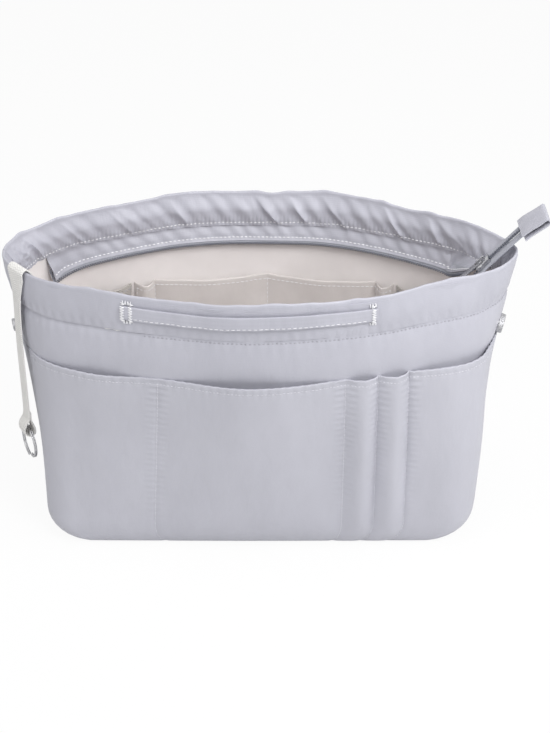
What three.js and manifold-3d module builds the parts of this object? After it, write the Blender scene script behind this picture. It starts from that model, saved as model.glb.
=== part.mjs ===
// Purse organizer insert: a soft zip-top bag that drops into a handbag. Satin outside, pale lining
// inside, a stiffened base, pockets round it, two grab strips, side snaps and a strap for keys.
// Millimetres, +Z up. The front faces -Y, and the origin is the middle of the base on the floor.
import * as THREE from "three";
import { mergeVertices } from "three/addons/utils/BufferGeometryUtils.js";
import Module from "manifold-3d";

const wasm = await Module();
wasm.setup();

// The bag: its base, its height at the middle of the rim, and its rounded lower edges.
const bag = {
  length: 296,
  depth: 130,
  height: 202,
  baseCorner: 20,
  sideRounding: 22,
  frontRounding: 8,
};

// The mouth is a lens: how far each end reaches, how far the middle bows out, how far the ends dip.
const mouth = {
  leftReach: 168.5,
  rightReach: 174,
  frontBow: 85.5,
  backBow: 85.5,
  leftDip: 4.5,
  rightDip: 3.5,
};

// How each quarter of the mouth curves, how round its crown is, and how the walls flare up to it.
const mouthShares = {
  frontRight: { power: 1.36, root: 0.56 },
  backRight: { power: 1.5, root: 0.63 },
  backLeft: { power: 1.26, root: 0.46 },
  frontLeft: { power: 1.41, root: 0.49 },
};
const crownShare = 0.22;
const flareShares = { left: 1.2, right: 1.6, depth: 0.75, dip: 3 };

// Cloth and board thicknesses, and the clearance that every two pieces keep.
const cloth = { satin: 0.6, lining: 0.6, foam: 1.5, mesh: 0.5, gap: 0.4 };

// Depths into the wall, from the outermost skin inwards.
const pocketDepth = 0;
const panelDepth = pocketDepth + cloth.satin + cloth.gap;
const foamDepth = panelDepth + cloth.satin + cloth.gap;
const liningDepth = foamDepth + cloth.foam + cloth.gap;
const stripDepth = liningDepth + cloth.lining + cloth.gap;
const facingDepth = stripDepth + cloth.satin + cloth.gap;
const wallDepth = facingDepth + cloth.satin;

const stepCounts = { front: 6, corner: 3, side: 3, rounding: 3, lowerWall: 3, upperWall: 1 };

// How far below the rim the pocket hems lie, and how deep the inside pockets are below theirs.
const hems = { outsideDrop: 59, insideDrop: 62, slotDepth: 88, meshDepth: 80 };

// Materials, one for each cloth or metal.
const satin = new THREE.MeshStandardMaterial({ color: 0xc3c3cc, roughness: 0.42, metalness: 0 });
const liningCloth = new THREE.MeshStandardMaterial({ color: 0xddd8d2, roughness: 0.7, metalness: 0 });
const meshCloth = new THREE.MeshStandardMaterial({ color: 0xb9b4ae, roughness: 0.8, metalness: 0 });
const foamFill = new THREE.MeshStandardMaterial({ color: 0xf2f2ee, roughness: 0.95, metalness: 0 });
const boardFill = new THREE.MeshStandardMaterial({ color: 0x9c9c9c, roughness: 0.6, metalness: 0 });
const tapeCloth = new THREE.MeshStandardMaterial({ color: 0xa9abb4, roughness: 0.75, metalness: 0 });
const coilNylon = new THREE.MeshStandardMaterial({ color: 0x9a9ca5, roughness: 0.45, metalness: 0 });
const webbing = new THREE.MeshStandardMaterial({ color: 0xe2e1dd, roughness: 0.8, metalness: 0 });
const nickel = new THREE.MeshStandardMaterial({ color: 0xc9cacc, roughness: 0.25, metalness: 1 });

const organizer = new THREE.Group();

function place(name, geometry, material) {
  const mesh = new THREE.Mesh(geometry, material);
  mesh.name = name;
  organizer.add(mesh);
}

// Solids

// The volume that a closed triangle list holds: negative when its faces point inwards.
function signedVolume(points, faces) {
  const [a, b, c] = [new THREE.Vector3(), new THREE.Vector3(), new THREE.Vector3()];
  let sum = 0;
  for (let i = 0; i < faces.length; i += 3) {
    a.copy(points[faces[i]]);
    b.copy(points[faces[i + 1]]);
    c.copy(points[faces[i + 2]]);
    sum += a.dot(b.cross(c));
  }
  return sum;
}

function solidFrom(points, faces) {
  if (signedVolume(points, faces) < 0) faces.reverse();
  const geometry = new THREE.BufferGeometry().setFromPoints(points);
  geometry.setIndex(faces);
  geometry.computeVertexNormals();
  return geometry;
}

// A closed solid through rings of points. Each ring runs along one face of the piece and then back
// along the other, so the two halves of a ring pair up across the thickness.
function loft(rings) {
  const size = rings[0].length;
  const faces = [];
  const quad = (a, b, c, d, turned) =>
    turned ? faces.push(b, c, d, b, d, a) : faces.push(a, b, c, a, c, d);
  for (let i = 0; i + 1 < rings.length; i++)
    for (let j = 0; j < size; j++) {
      const k = (j + 1) % size;
      const here = i * size;
      const next = here + size;
      quad(here + j, here + k, next + k, next + j, 2 * j >= size);
    }
  const end = (rings.length - 1) * size;
  for (let j = 0; 2 * (j + 1) < size; j++) {
    const back = size - 1 - j;
    quad(back, back - 1, j + 1, j, false);
    quad(end + j, end + j + 1, end + back - 1, end + back, false);
  }
  return solidFrom(rings.flat(), faces);
}

// A sheet between two faces, each a function of a place along and a place up, over the two lists.
function sheet(along, up, outer, inner) {
  return loft(
    along.map((a) => [
      ...up.map((b) => outer(a, b)),
      ...up.map((b) => inner(a, b)).reverse(),
    ]),
  );
}

function evenly(from, to, steps) {
  return Array.from({ length: steps + 1 }, (_, i) => from + ((to - from) * i) / steps);
}

function shapeOf(points) {
  return new THREE.Shape(points.map(([x, y]) => new THREE.Vector2(x, y)));
}

function extruded(shape, depth, curveSegments = 6) {
  return new THREE.ExtrudeGeometry(shape, { depth, bevelEnabled: false, curveSegments });
}

// A three.js geometry as a solid for cutting, and back.
function toSolid(geometry) {
  const bare = geometry.clone();
  for (const name of Object.keys(bare.attributes))
    if (name !== "position") bare.deleteAttribute(name);
  const merged = mergeVertices(bare, 1e-4);
  return new wasm.Manifold(
    new wasm.Mesh({
      numProp: 3,
      vertProperties: merged.attributes.position.array,
      triVerts: new Uint32Array(merged.index.array),
    }),
  );
}

function toGeometry(solid) {
  const mesh = solid.getMesh();
  const geometry = new THREE.BufferGeometry();
  geometry.setAttribute("position", new THREE.BufferAttribute(mesh.vertProperties, 3));
  geometry.setIndex(new THREE.BufferAttribute(mesh.triVerts, 1));
  geometry.computeVertexNormals();
  return geometry;
}

// The wall

// One quarter of the mouth's outline, from the middle of a long side to the end.
class MouthQuarter extends THREE.Curve {
  constructor(reach, bow, shares) {
    super();
    Object.assign(this, { reach, bow, shares });
  }
  getPoint(t) {
    const across = Math.sin((t * Math.PI) / 2);
    const { power, root } = this.shares;
    const rounded = (x) => (x ** 2 + crownShare ** 2) ** (power / 2) - crownShare ** power;
    const fall = Math.max(0, 1 - rounded(across) / rounded(1)) ** root;
    return new THREE.Vector3(this.reach * across, this.bow * fall, 0);
  }
}

// One quarter of the base's outline: half a long side, a corner and half a short side.
function baseQuarterCurve() {
  const straightX = bag.length / 2 - bag.baseCorner;
  const straightY = bag.depth / 2 - bag.baseCorner;
  const corner = new THREE.EllipseCurve(
    straightX, straightY, bag.baseCorner, bag.baseCorner, Math.PI / 2, 0, true,
  );
  const path = new THREE.CurvePath();
  path.add(new THREE.LineCurve(new THREE.Vector2(0, bag.depth / 2), corner.getPoint(0)));
  path.add(corner);
  path.add(new THREE.LineCurve(corner.getPoint(1), new THREE.Vector2(bag.length / 2, 0)));
  return path;
}

const baseQuarter = baseQuarterCurve();
const quarterLength = baseQuarter.getLength();
const mouthQuarters = [
  new MouthQuarter(mouth.rightReach, mouth.frontBow, mouthShares.frontRight),
  new MouthQuarter(mouth.rightReach, mouth.backBow, mouthShares.backRight),
  new MouthQuarter(mouth.leftReach, mouth.backBow, mouthShares.backLeft),
  new MouthQuarter(mouth.leftReach, mouth.frontBow, mouthShares.frontLeft),
];

// A station is a place round the wall: 0 is the middle of the front, 1 the right end, 2 the middle
// of the back and 3, or -1, the left end. A rise is a place up the wall, along its own surface.
const roundingRise = (bag.sideRounding * Math.PI) / 2;
const topRise = roundingRise + bag.height - bag.sideRounding;
const riseAt = (height) => roundingRise + height - bag.sideRounding;

function planPoint(station, height) {
  const turn = ((station % 4) + 4) % 4;
  const quarter = Math.min(3, Math.floor(turn));
  const part = turn - quarter;
  const outwards = quarter % 2 === 0 ? part : 1 - part;
  const base = baseQuarter.getPointAt(outwards);
  const rim = mouthQuarters[quarter].getPointAt(outwards);
  const right = quarter < 2;
  const share = Math.max(0, height / bag.height);
  const flare = share ** (right ? flareShares.right : flareShares.left);
  return new THREE.Vector2(
    THREE.MathUtils.lerp(base.x, rim.x, flare) * (right ? 1 : -1),
    THREE.MathUtils.lerp(base.y, rim.y, share ** flareShares.depth)
      * (quarter === 0 || quarter === 3 ? -1 : 1),
  );
}

function rimDip(station) {
  const x = planPoint(station, bag.height).x;
  return x > 0
    ? mouth.rightDip * (x / mouth.rightReach) ** flareShares.dip
    : mouth.leftDip * (-x / mouth.leftReach) ** flareShares.dip;
}

const stationStep = 0.004;

// The point of the wall at a station and a rise, at a depth into it; a negative depth stands proud.
function wallPoint(station, rise, depth) {
  const turn = Math.min(rise / bag.sideRounding, Math.PI / 2);
  const wallShare = (bag.height - rimDip(station) - bag.sideRounding)
    / (bag.height - bag.sideRounding);
  const height = rise < roundingRise
    ? bag.sideRounding * (1 - Math.cos(turn))
    : bag.sideRounding + (rise - roundingRise) * wallShare;
  const tuckX = 1 - (bag.sideRounding * (1 - Math.sin(turn))) / (bag.length / 2);
  const tuckY = 1 - (bag.frontRounding * (1 - Math.sin(turn))) / (bag.depth / 2);
  const tucked = (s) => planPoint(s, height).multiply(new THREE.Vector2(tuckX, tuckY));
  const run = tucked(station + stationStep).sub(tucked(station - stationStep)).normalize();
  const point = tucked(station);
  return new THREE.Vector3(
    point.x - run.y * depth * Math.sin(turn),
    point.y + run.x * depth * Math.sin(turn),
    height + depth * Math.cos(turn),
  );
}

// The outward direction of the wall in plan.
function outwardAt(station, rise) {
  const inner = wallPoint(station, rise, cloth.gap);
  return wallPoint(station, rise, 0).sub(inner).setZ(0).normalize();
}

// The stations and rises that all layers share, so that their facets lie parallel.
const cornerStartShare = (bag.length / 2 - bag.baseCorner) / quarterLength;
const cornerEndShare = 1 - (bag.depth / 2 - bag.baseCorner) / quarterLength;
const quarterShares = [
  ...evenly(0, cornerStartShare, stepCounts.front).slice(0, -1),
  ...evenly(cornerStartShare, cornerEndShare, stepCounts.corner).slice(0, -1),
  ...evenly(cornerEndShare, 1, stepCounts.side),
];
const roundShares = [
  ...quarterShares.map((s) => -s),
  ...quarterShares,
];
const sharedStations = [...new Set(roundShares)].sort((a, b) => a - b);
const roundingRises = evenly(0, roundingRise, stepCounts.rounding);

// The shared stations between two, with the two ends, about a middle station of 0 or 2.
function stationsBetween(from, to, extra = []) {
  const inside = [...sharedStations, ...extra].filter((s) => s > from && s < to);
  return [...new Set([from, ...inside, to])].sort((a, b) => a - b);
}

// Half the width of the side seams' gap, as a part of a quarter.
const seamShare = cloth.gap / quarterLength;
const seamToSeam = stationsBetween(-1 + seamShare, 1 - seamShare);
// A layer of the wall over some stations and rises, from one depth to a deeper one.
function layer(middle, stations, rises, depth, thickness) {
  return sheet(
    stations,
    rises,
    (s, r) => wallPoint(middle + s, r, depth),
    (s, r) => wallPoint(middle + s, r, depth + thickness),
  );
}

const FRONT = 0;
const BACK = 2;
const sides = [
  { name: "front", middle: FRONT, sign: -1 },
  { name: "back", middle: BACK, sign: 1 },
];

// Side snaps: a stud and a socket either side of each side seam, each on a cap with a post that
// comes through the satin. Snapped together they fold the side in and narrow the bag.
const snap = {
  aboveHem: 9,
  fromSeam: 12,
  postRadius: 1.5,
  holeClearance: 0.35,
  capRadius: 6,
  capThickness: 1,
  flangeRadius: 6.2,
  flangeThickness: 0.8,
  studRadius: 4.3,
  studTipRadius: 3.7,
  studHeight: 4.8,
  studGroove: 0.4,
  socketRadius: 6.75,
  socketHeight: 3.8,
  socketNeck: 1.2,
  socketBore: 4.7,
  socketBoreDepth: 2.2,
  roof: 0.9,
};
const snapSegments = 12;
const snapOffsetShare = snap.fromSeam / quarterLength;
const snaps = [
  { name: "left_stud", station: -1 + snapOffsetShare, kind: "stud" },
  { name: "left_socket", station: -1 - snapOffsetShare, kind: "socket" },
  { name: "right_socket", station: 1 - snapOffsetShare, kind: "socket" },
  { name: "right_stud", station: 1 + snapOffsetShare, kind: "stud" },
];

// A solid turned about +Z, laid on the wall with +Z outwards at a depth.
function turnedOnWall(profile, station, depth) {
  const points = profile.map(([r, z]) => new THREE.Vector2(r, z));
  const geometry = new THREE.LatheGeometry(points, snapSegments);
  geometry.rotateX(Math.PI / 2);
  const rise = riseAt(bag.height - hems.outsideDrop + snap.aboveHem);
  const out = outwardAt(station, rise);
  const lean = wallPoint(station, rise + snap.capRadius, 0)
    .sub(wallPoint(station, rise - snap.capRadius, 0)).normalize();
  const side = new THREE.Vector3().crossVectors(lean, out).normalize();
  const normal = new THREE.Vector3().crossVectors(side, lean).normalize();
  const frame = new THREE.Matrix4().makeBasis(side, lean, normal);
  frame.setPosition(wallPoint(station, rise, panelDepth).addScaledVector(normal, panelDepth - depth));
  return geometry.applyMatrix4(frame);
}

// Panels, stiffeners and lining

const hemRise = riseAt(bag.height - hems.outsideDrop);
const facing = { collar: 25, drop: 23, thickness: 0.6, overRim: 1, seamGaps: 3 };
const collarRise = topRise - facing.collar;
const pocketRises = [
  ...roundingRises.slice(0, -1),
  ...evenly(roundingRise, hemRise, stepCounts.lowerWall),
];
const panelRises = [...pocketRises, ...evenly(hemRise, collarRise, stepCounts.upperWall).slice(1)];
const wallRises = [...panelRises, topRise];

// A hole for each snap's post, through every layer that the post crosses.
function drilledForSnaps(geometry, middle) {
  let solid = toSolid(geometry);
  const length = wallDepth * 2;
  const profile = [
    [0, -length],
    [snap.postRadius + snap.holeClearance, -length],
    [snap.postRadius + snap.holeClearance, length],
    [0, length],
  ];
  for (const { station } of snaps)
    if (Math.abs(middle - ((station + 4) % 4)) < 1 || Math.abs(middle - station) < 1)
      solid = solid.subtract(toSolid(turnedOnWall(profile, station, panelDepth)));
  return toGeometry(solid);
}

const foamEdge = 6;
const foamStations = stationsBetween(-cornerStartShare, cornerStartShare);
const foamRises = [roundingRise, ...wallRises.filter((r) => r > roundingRise && r < topRise)];
const foamTop = topRise - foamEdge;

for (const { name, middle } of sides) {
  const panel = layer(middle, seamToSeam, panelRises, panelDepth, cloth.satin);
  place(`${name}_panel`, drilledForSnaps(panel, middle), satin);
  const foam = layer(middle, foamStations, [...foamRises, foamTop], foamDepth, cloth.foam);
  place(`${name}_stiffener`, foam, foamFill);
  const lining = layer(middle, seamToSeam, wallRises, liningDepth, cloth.lining);
  place(`${name}_lining`, drilledForSnaps(lining, middle), liningCloth);
}

// The bottom: plates inside the lower edges of the walls, each at its own layer's depth.
function bottomPlate(depth, thickness) {
  const outline = sharedStations.flatMap((s) => (s > -1 && s <= 1 ? [s] : []));
  const around = [...outline, ...outline.slice(0, -1).map((s) => s + 2).filter((s) => s > 1 && s < 3)];
  const points = around.map((s) => {
    const out = outwardAt(s, roundingRise);
    const edge = wallPoint(s, 0, 0).addScaledVector(out, -cloth.gap);
    return [edge.x, edge.y];
  });
  return extruded(shapeOf(points), thickness).translate(0, 0, depth);
}
place("bottom_panel", bottomPlate(pocketDepth, cloth.satin), satin);
place("base_board", bottomPlate(foamDepth, cloth.foam), boardFill);
place("bottom_lining", bottomPlate(liningDepth, cloth.lining), liningCloth);

// Outside pockets: panels sewn down at the seams and dividers, and fuller between. The front's
// left pocket is a panel of its own, because it wraps round the corner.
const fullnessOf = { bottle: 15, flat: 14, pen: 10, brush: 14, backEnd: 10, backMiddle: 11 };
const pocketSets = {
  front: {
    dividerShares: [-0.357, 0.279, 0.386, 0.489],
    kinds: ["bottle", "flat", "pen", "pen", "brush"],
    spreadShares: [4, 1.6, 1.2, 1.2, 2.4],
    panels: { left_pocket_panel: [0, 1], front_pocket_panel: [1, 5] },
  },
  back: {
    dividerShares: [-0.33, 0.33],
    kinds: ["backEnd", "backMiddle", "backEnd"],
    spreadShares: [2, 1.6, 2],
    panels: { back_pocket_panel: [0, 3] },
  },
};
const pocketShares = { up: 0.85 };
const midDividers = (list) => list.slice(1).map((s, i) => (s + list[i]) / 2);

for (const { name, middle } of sides) {
  const { dividerShares, kinds, spreadShares, panels } = pocketSets[name];
  const edges = [-1 + seamShare, ...dividerShares, 1 - seamShare];
  const extra = [...dividerShares, ...midDividers(dividerShares)];
  const bulge = (s, rise) => {
    const pocket = Math.max(0, edges.findIndex((edge) => edge > s) - 1);
    const across = (s - edges[pocket]) / (edges[pocket + 1] - edges[pocket]);
    const along = Math.sin(Math.PI * THREE.MathUtils.clamp(across, 0, 1));
    return fullnessOf[kinds[pocket]] * along ** spreadShares[pocket] * (rise / hemRise) ** pocketShares.up;
  };
  const skin = (depth) => (s, rise) => wallPoint(middle + s, rise, depth - bulge(s, rise));
  for (const [panelName, [first, last]] of Object.entries(panels)) {
    const from = first > 0 ? edges[first] + seamShare / 2 : edges[first];
    const to = last < kinds.length ? edges[last] - seamShare / 2 : edges[last];
    const stations = stationsBetween(from, to, extra);
    const panel = sheet(stations, pocketRises, skin(pocketDepth), skin(pocketDepth + cloth.satin));
    place(panelName, panel, satin);
  }
}

// The facing starts as a collar outside, folds over the top edge and hangs inside it.
for (const { name, middle } of sides) {
  const top = topRise + cloth.gap;
  const seam = 1 - seamShare * facing.seamGaps;
  const rings = stationsBetween(-seam, seam).map((s) => {
    const at = (rise, depth) => wallPoint(middle + s, rise, depth);
    return [
      at(collarRise + cloth.gap, panelDepth),
      at(top + facing.overRim, panelDepth),
      at(top + facing.overRim, facingDepth + facing.thickness),
      at(topRise - facing.drop, facingDepth + facing.thickness),
      at(topRise - facing.drop, facingDepth),
      at(top, facingDepth),
      at(top, panelDepth + facing.thickness),
      at(collarRise + cloth.gap, panelDepth + facing.thickness),
    ];
  });
  place(`facing_${name}`, loft(rings), satin);
}

// Grab strips lie flat on the outside below the rim, each held by a tall tack at both ends.
const grab = { from: -86, to: 77, belowRim: 6, width: 9.5, thickness: 1, tackWidth: 6, tackHeight: 17 };
for (const { name, middle, sign } of sides) {
  const share = (x) => (-sign * x) / quarterLength;
  const ends = [share(grab.from), share(grab.to)].sort((a, b) => a - b);
  const tack = grab.tackWidth / quarterLength;
  const step = grab.thickness / quarterLength;
  const stations = stationsBetween(...ends, [
    ends[0] + tack, ends[0] + tack + step, ends[1] - tack - step, ends[1] - tack,
  ]);
  const centre = topRise - grab.belowRim - grab.width / 2;
  const inTack = (s) => s <= ends[0] + tack || s >= ends[1] - tack;
  const riseOf = (s, side) => centre + (side * (inTack(s) ? grab.tackHeight : grab.width)) / 2;
  const skin = (depth) => (s, side) => wallPoint(middle + s, riseOf(s, side), depth);
  const inner = panelDepth - cloth.gap;
  place(`grab_strip_${name}`, sheet(stations, [-1, 1], skin(inner - grab.thickness), skin(inner)), satin);
}

// The zip: a satin strip under each facing carries a tape, and the coils close in a tail that runs
// up past the right end of the rim to a folded tab.
const zip = {
  stripTop: 17,
  stripBend: 24,
  stripDrop: 32.5,
  stripLean: 4.2,
  tapeTop: 28.5,
  coilDrop: 36,
  endSag: 15,
  tapeThickness: 0.6,
  tapeHalfWidth: 7.4,
  tapeInset: 0.9,
  pitch: 3.6,
  toothReach: 0.45,
  toothRoot: 0.95,
  coilBack: 2,
  coilHeight: 1.2,
  throatSpread: 2,
  throatLength: 6,
  tailLength: 37,
  tailAngle: 48,
  sliderFromEnd: 23,
  sliderBelowRim: 14.4,
};
const zipShares = { left: -0.8, right: 0.72, sagPower: 3, curledSpans: 4, curlSteps: 5 };
const tailTurn = THREE.MathUtils.degToRad(zip.tailAngle);
const tailAlong = new THREE.Vector3(Math.cos(tailTurn), 0, Math.sin(tailTurn));
const tailUp = new THREE.Vector3(-Math.sin(tailTurn), 0, Math.cos(tailTurn));
const sliderCentre = new THREE.Vector3(
  mouth.rightReach - zip.sliderFromEnd, 0, bag.height - zip.sliderBelowRim,
);
const lean = zip.stripLean / (zip.stripDrop - zip.stripBend);
const stripDepthAt = (drop) => stripDepth + Math.max(0, drop - zip.stripBend) * lean;
const fromMiddle = (station) => Math.abs(station - BACK * Math.round(station / BACK));
const sagAt = (station, drop) => zip.endSag * fromMiddle(station) ** zipShares.sagPower
  * (drop - zip.stripTop) / (zip.coilDrop - zip.stripTop);
const zipRise = (station, drop) => topRise - drop - sagAt(station, drop);
const tapeDepthAt = (drop) => stripDepthAt(drop) - cloth.gap - zip.tapeThickness / 2;

// A place in the tail: along it, across it (to +Y) and above its tapes.
function tailPoint(along, across, above) {
  return sliderCentre.clone()
    .addScaledVector(tailAlong, along)
    .addScaledVector(tailUp, above)
    .add(new THREE.Vector3(0, across, 0));
}

// One edge of a tape from the left end to the slider's throat, then on through it into the tail.
function zipEdge(stationsOnWall, drop, sign, across, acrossThroat) {
  const onWall = stationsOnWall.map((s) => wallPoint(s, zipRise(s, drop), tapeDepthAt(drop)));
  const mouthEnd = tailPoint(-zip.throatLength, sign * acrossThroat, 0);
  const bend = tailPoint(-zip.throatLength * 2, sign * (acrossThroat + zip.throatLength / 2), 0);
  const path = new THREE.CurvePath();
  path.add(new THREE.CatmullRomCurve3([...onWall, bend, mouthEnd]));
  path.add(new THREE.LineCurve3(mouthEnd, tailPoint(0, sign * across, 0)));
  path.add(new THREE.LineCurve3(tailPoint(0, sign * across, 0), tailPoint(zip.tailLength, sign * across, 0)));
  return path.curves;
}

for (const { name, middle, sign } of sides) {
  const turnOf = (s) => middle - sign * s;
  const onWall = stationsBetween(zipShares.left, zipShares.right);
  const stripStations = onWall.map(turnOf);
  const stripRises = [zip.stripTop, zip.stripBend, zip.stripDrop];
  const skin = (inwards) => (s, drop) => wallPoint(s, zipRise(s, drop), stripDepthAt(drop) + inwards);
  const strip = sheet(stripStations, stripRises, skin(0), skin(cloth.satin));
  place(`zip_strip_${name}`, strip, satin);

  const coilEdge = zipEdge(stripStations, zip.coilDrop, sign, 0, zip.throatSpread);
  const outerEdge = zipEdge(
    stripStations, zip.tapeTop, sign, zip.tapeHalfWidth, zip.tapeHalfWidth + zip.throatSpread,
  );
  const rowAt = (part, t) => {
    const [coil, outer] = [coilEdge[part].getPoint(t), outerEdge[part].getPoint(t)];
    const out = outer.clone().sub(coil).normalize();
    const run = coilEdge[part].getTangent(t);
    const normal = new THREE.Vector3().crossVectors(out, run).multiplyScalar(-sign).normalize();
    return { coil, outer, out, normal };
  };
  const spans = stripStations.length + 1;
  const straightShares = evenly(0, 1 - zipShares.curledSpans / spans, (spans - zipShares.curledSpans) * 2);
  const curledShares = evenly(straightShares.at(-1), 1, zipShares.curledSpans * zipShares.curlSteps);
  const curveShares = [...straightShares, ...curledShares.slice(1)];
  const rows = [...curveShares.map((t) => rowAt(0, t)), rowAt(1, 1), rowAt(2, 1)];
  const tapeRings = rows.map(({ coil, outer, out, normal }) => {
    const inner = coil.clone().addScaledVector(out, zip.tapeInset);
    const at = (point, offset) => point.clone().addScaledVector(normal, offset);
    const half = zip.tapeThickness / 2;
    return [at(inner, half), at(outer, half), at(outer, -half), at(inner, -half)];
  });
  place(`zip_tape_${name}`, loft(tapeRings), tapeCloth);

  // The coil's teeth: its free edge runs in and out, half a pitch behind the other coil's.
  const half = zip.pitch / 2;
  const teeth = [];
  let count = Math.round(zip.tailLength / half) + (sign > 0 ? 1 : 0);
  for (const part of [2, 1, 0]) {
    const curve = coilEdge[part];
    const steps = Math.max(1, Math.round(curve.getLength() / half));
    for (let i = steps; i > (part === 0 ? -1 : 0); i--, count--)
      teeth.push({ ...rowAt(part, curve.getUtoTmapping(i / steps)), tip: count % 2 === 0 });
  }
  const coilRings = teeth.map(({ coil, out, normal, tip }) => {
    const at = (across, above) =>
      coil.clone().addScaledVector(out, across).addScaledVector(normal, above);
    const low = zip.tapeThickness / 2 + cloth.gap;
    const edge = tip ? -zip.toothReach : zip.toothRoot;
    return [
      at(edge, low + zip.coilHeight),
      at(zip.coilBack, low + zip.coilHeight),
      at(zip.coilBack, low),
      at(edge, low),
    ];
  });
  place(`zip_coil_${name}`, loft(coilRings), coilNylon);
}

// The folded tab at the end of the tail, open towards the tapes that it holds.
const tab = { start: 33, length: 21.5, width: 28, thickness: 0.8 };
const tabRings = evenly(-tab.width / 2, tab.width / 2, 2).map((across) => {
  const at = (along, above) => tailPoint(tab.start + along, across, above);
  const low = -zip.tapeThickness / 2 - cloth.gap;
  const high = zip.tapeThickness / 2 + cloth.gap + zip.coilHeight + cloth.gap;
  const wall = tab.thickness;
  return [
    at(0, low - wall), at(tab.length, low - wall), at(tab.length, high + wall), at(0, high + wall),
    at(0, high), at(tab.length - wall, high), at(tab.length - wall, low), at(0, low),
  ];
});
place("zip_end_tab", loft(tabRings), satin);

// The slider: two plates joined by a wedge between the coils, with flanges, and a bridge on top.
const slider = {
  half: 5.5,
  mouthHalfWidth: 5.4,
  tailHalfWidth: 3.9,
  plate: 1,
  clearance: 0.35,
  wedgeEnd: 1.8,
  wedgeHalfWidth: 0.9,
  bridgeHeight: 2.6,
  bridgeBar: 1,
  bridgeHalf: 3.6,
  bridgeWidth: 1.6,
};
const sliderShares = { shoulder: 0.4, cheek: 0.8, nose: 1.1, wedge: 0.8 };
const chainLow = -zip.tapeThickness / 2 - slider.clearance;
const chainHigh = zip.tapeThickness / 2 + cloth.gap + zip.coilHeight + slider.clearance;
const sliderTop = chainHigh + slider.plate;
const cutOver = 1;

// Lays an extrusion, drawn along the tail and across it, at a height above the tapes.
function onTail(shape, low, high) {
  const geometry = extruded(shape, high - low).translate(0, 0, low);
  const frame = new THREE.Matrix4().makeBasis(tailAlong, new THREE.Vector3(0, 1, 0), tailUp);
  frame.setPosition(sliderCentre);
  return geometry.applyMatrix4(frame);
}

// The same for a shape drawn along the tail and above it, centred across it.
function besideTail(shape, width) {
  const geometry = extruded(shape, width).translate(0, 0, -width / 2);
  const across = new THREE.Vector3(0, -1, 0);
  const frame = new THREE.Matrix4().makeBasis(tailAlong, tailUp, across);
  frame.setPosition(sliderCentre);
  return geometry.applyMatrix4(frame);
}

function sliderSolid() {
  const { half, mouthHalfWidth, tailHalfWidth } = slider;
  const shoulder = -half * sliderShares.shoulder;
  const cheek = mouthHalfWidth * sliderShares.cheek;
  const plan = new THREE.Shape();
  plan.moveTo(half, tailHalfWidth);
  plan.quadraticCurveTo(0, tailHalfWidth, shoulder, mouthHalfWidth);
  plan.lineTo(-half, cheek);
  plan.quadraticCurveTo(-half * sliderShares.nose, 0, -half, -cheek);
  plan.lineTo(shoulder, -mouthHalfWidth);
  plan.quadraticCurveTo(0, -tailHalfWidth, half, -tailHalfWidth);
  const body = toSolid(onTail(plan, chainLow - slider.plate, sliderTop));

  const coilSide = zip.coilBack + slider.clearance;
  const spread = coilSide + (zip.throatSpread * (half + cutOver)) / zip.throatLength;
  const channel = shapeOf([
    [half + cutOver, -coilSide], [half + cutOver, coilSide], [0, coilSide],
    [-half - cutOver, spread], [-half - cutOver, -spread], [0, -coilSide],
  ]);
  const wedge = shapeOf([
    [-slider.wedgeEnd, 0], [-half * sliderShares.wedge, slider.wedgeHalfWidth],
    [-half, 0], [-half * sliderShares.wedge, -slider.wedgeHalfWidth],
  ]);
  const slot = shapeOf([
    [-half * 2, -mouthHalfWidth * 2], [half * 2, -mouthHalfWidth * 2],
    [half * 2, mouthHalfWidth * 2], [-half * 2, mouthHalfWidth * 2],
  ]);
  const slotHigh = zip.tapeThickness / 2 + slider.clearance;
  const room = toSolid(onTail(channel, chainLow, chainHigh))
    .add(toSolid(onTail(slot, chainLow, slotHigh)))
    .subtract(toSolid(onTail(wedge, chainLow - cutOver, chainHigh + cutOver)));

  const { bridgeHalf, bridgeBar, bridgeHeight, bridgeWidth } = slider;
  const low = sliderTop - slider.plate / 2;
  const high = sliderTop + bridgeHeight;
  const arch = new THREE.Shape();
  arch.moveTo(-bridgeHalf, low);
  arch.lineTo(-bridgeHalf, high - bridgeBar);
  arch.quadraticCurveTo(-bridgeHalf, high, -bridgeHalf + bridgeBar, high);
  arch.lineTo(bridgeHalf - bridgeBar, high);
  arch.quadraticCurveTo(bridgeHalf, high, bridgeHalf, high - bridgeBar);
  arch.lineTo(bridgeHalf, low);
  arch.lineTo(bridgeHalf - bridgeBar, low);
  arch.lineTo(bridgeHalf - bridgeBar, high - bridgeBar);
  arch.lineTo(-bridgeHalf + bridgeBar, high - bridgeBar);
  arch.lineTo(-bridgeHalf + bridgeBar, low);
  return toGeometry(body.subtract(room).add(toSolid(besideTail(arch, bridgeWidth))));
}
place("zip_slider", sliderSolid(), nickel);

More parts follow.
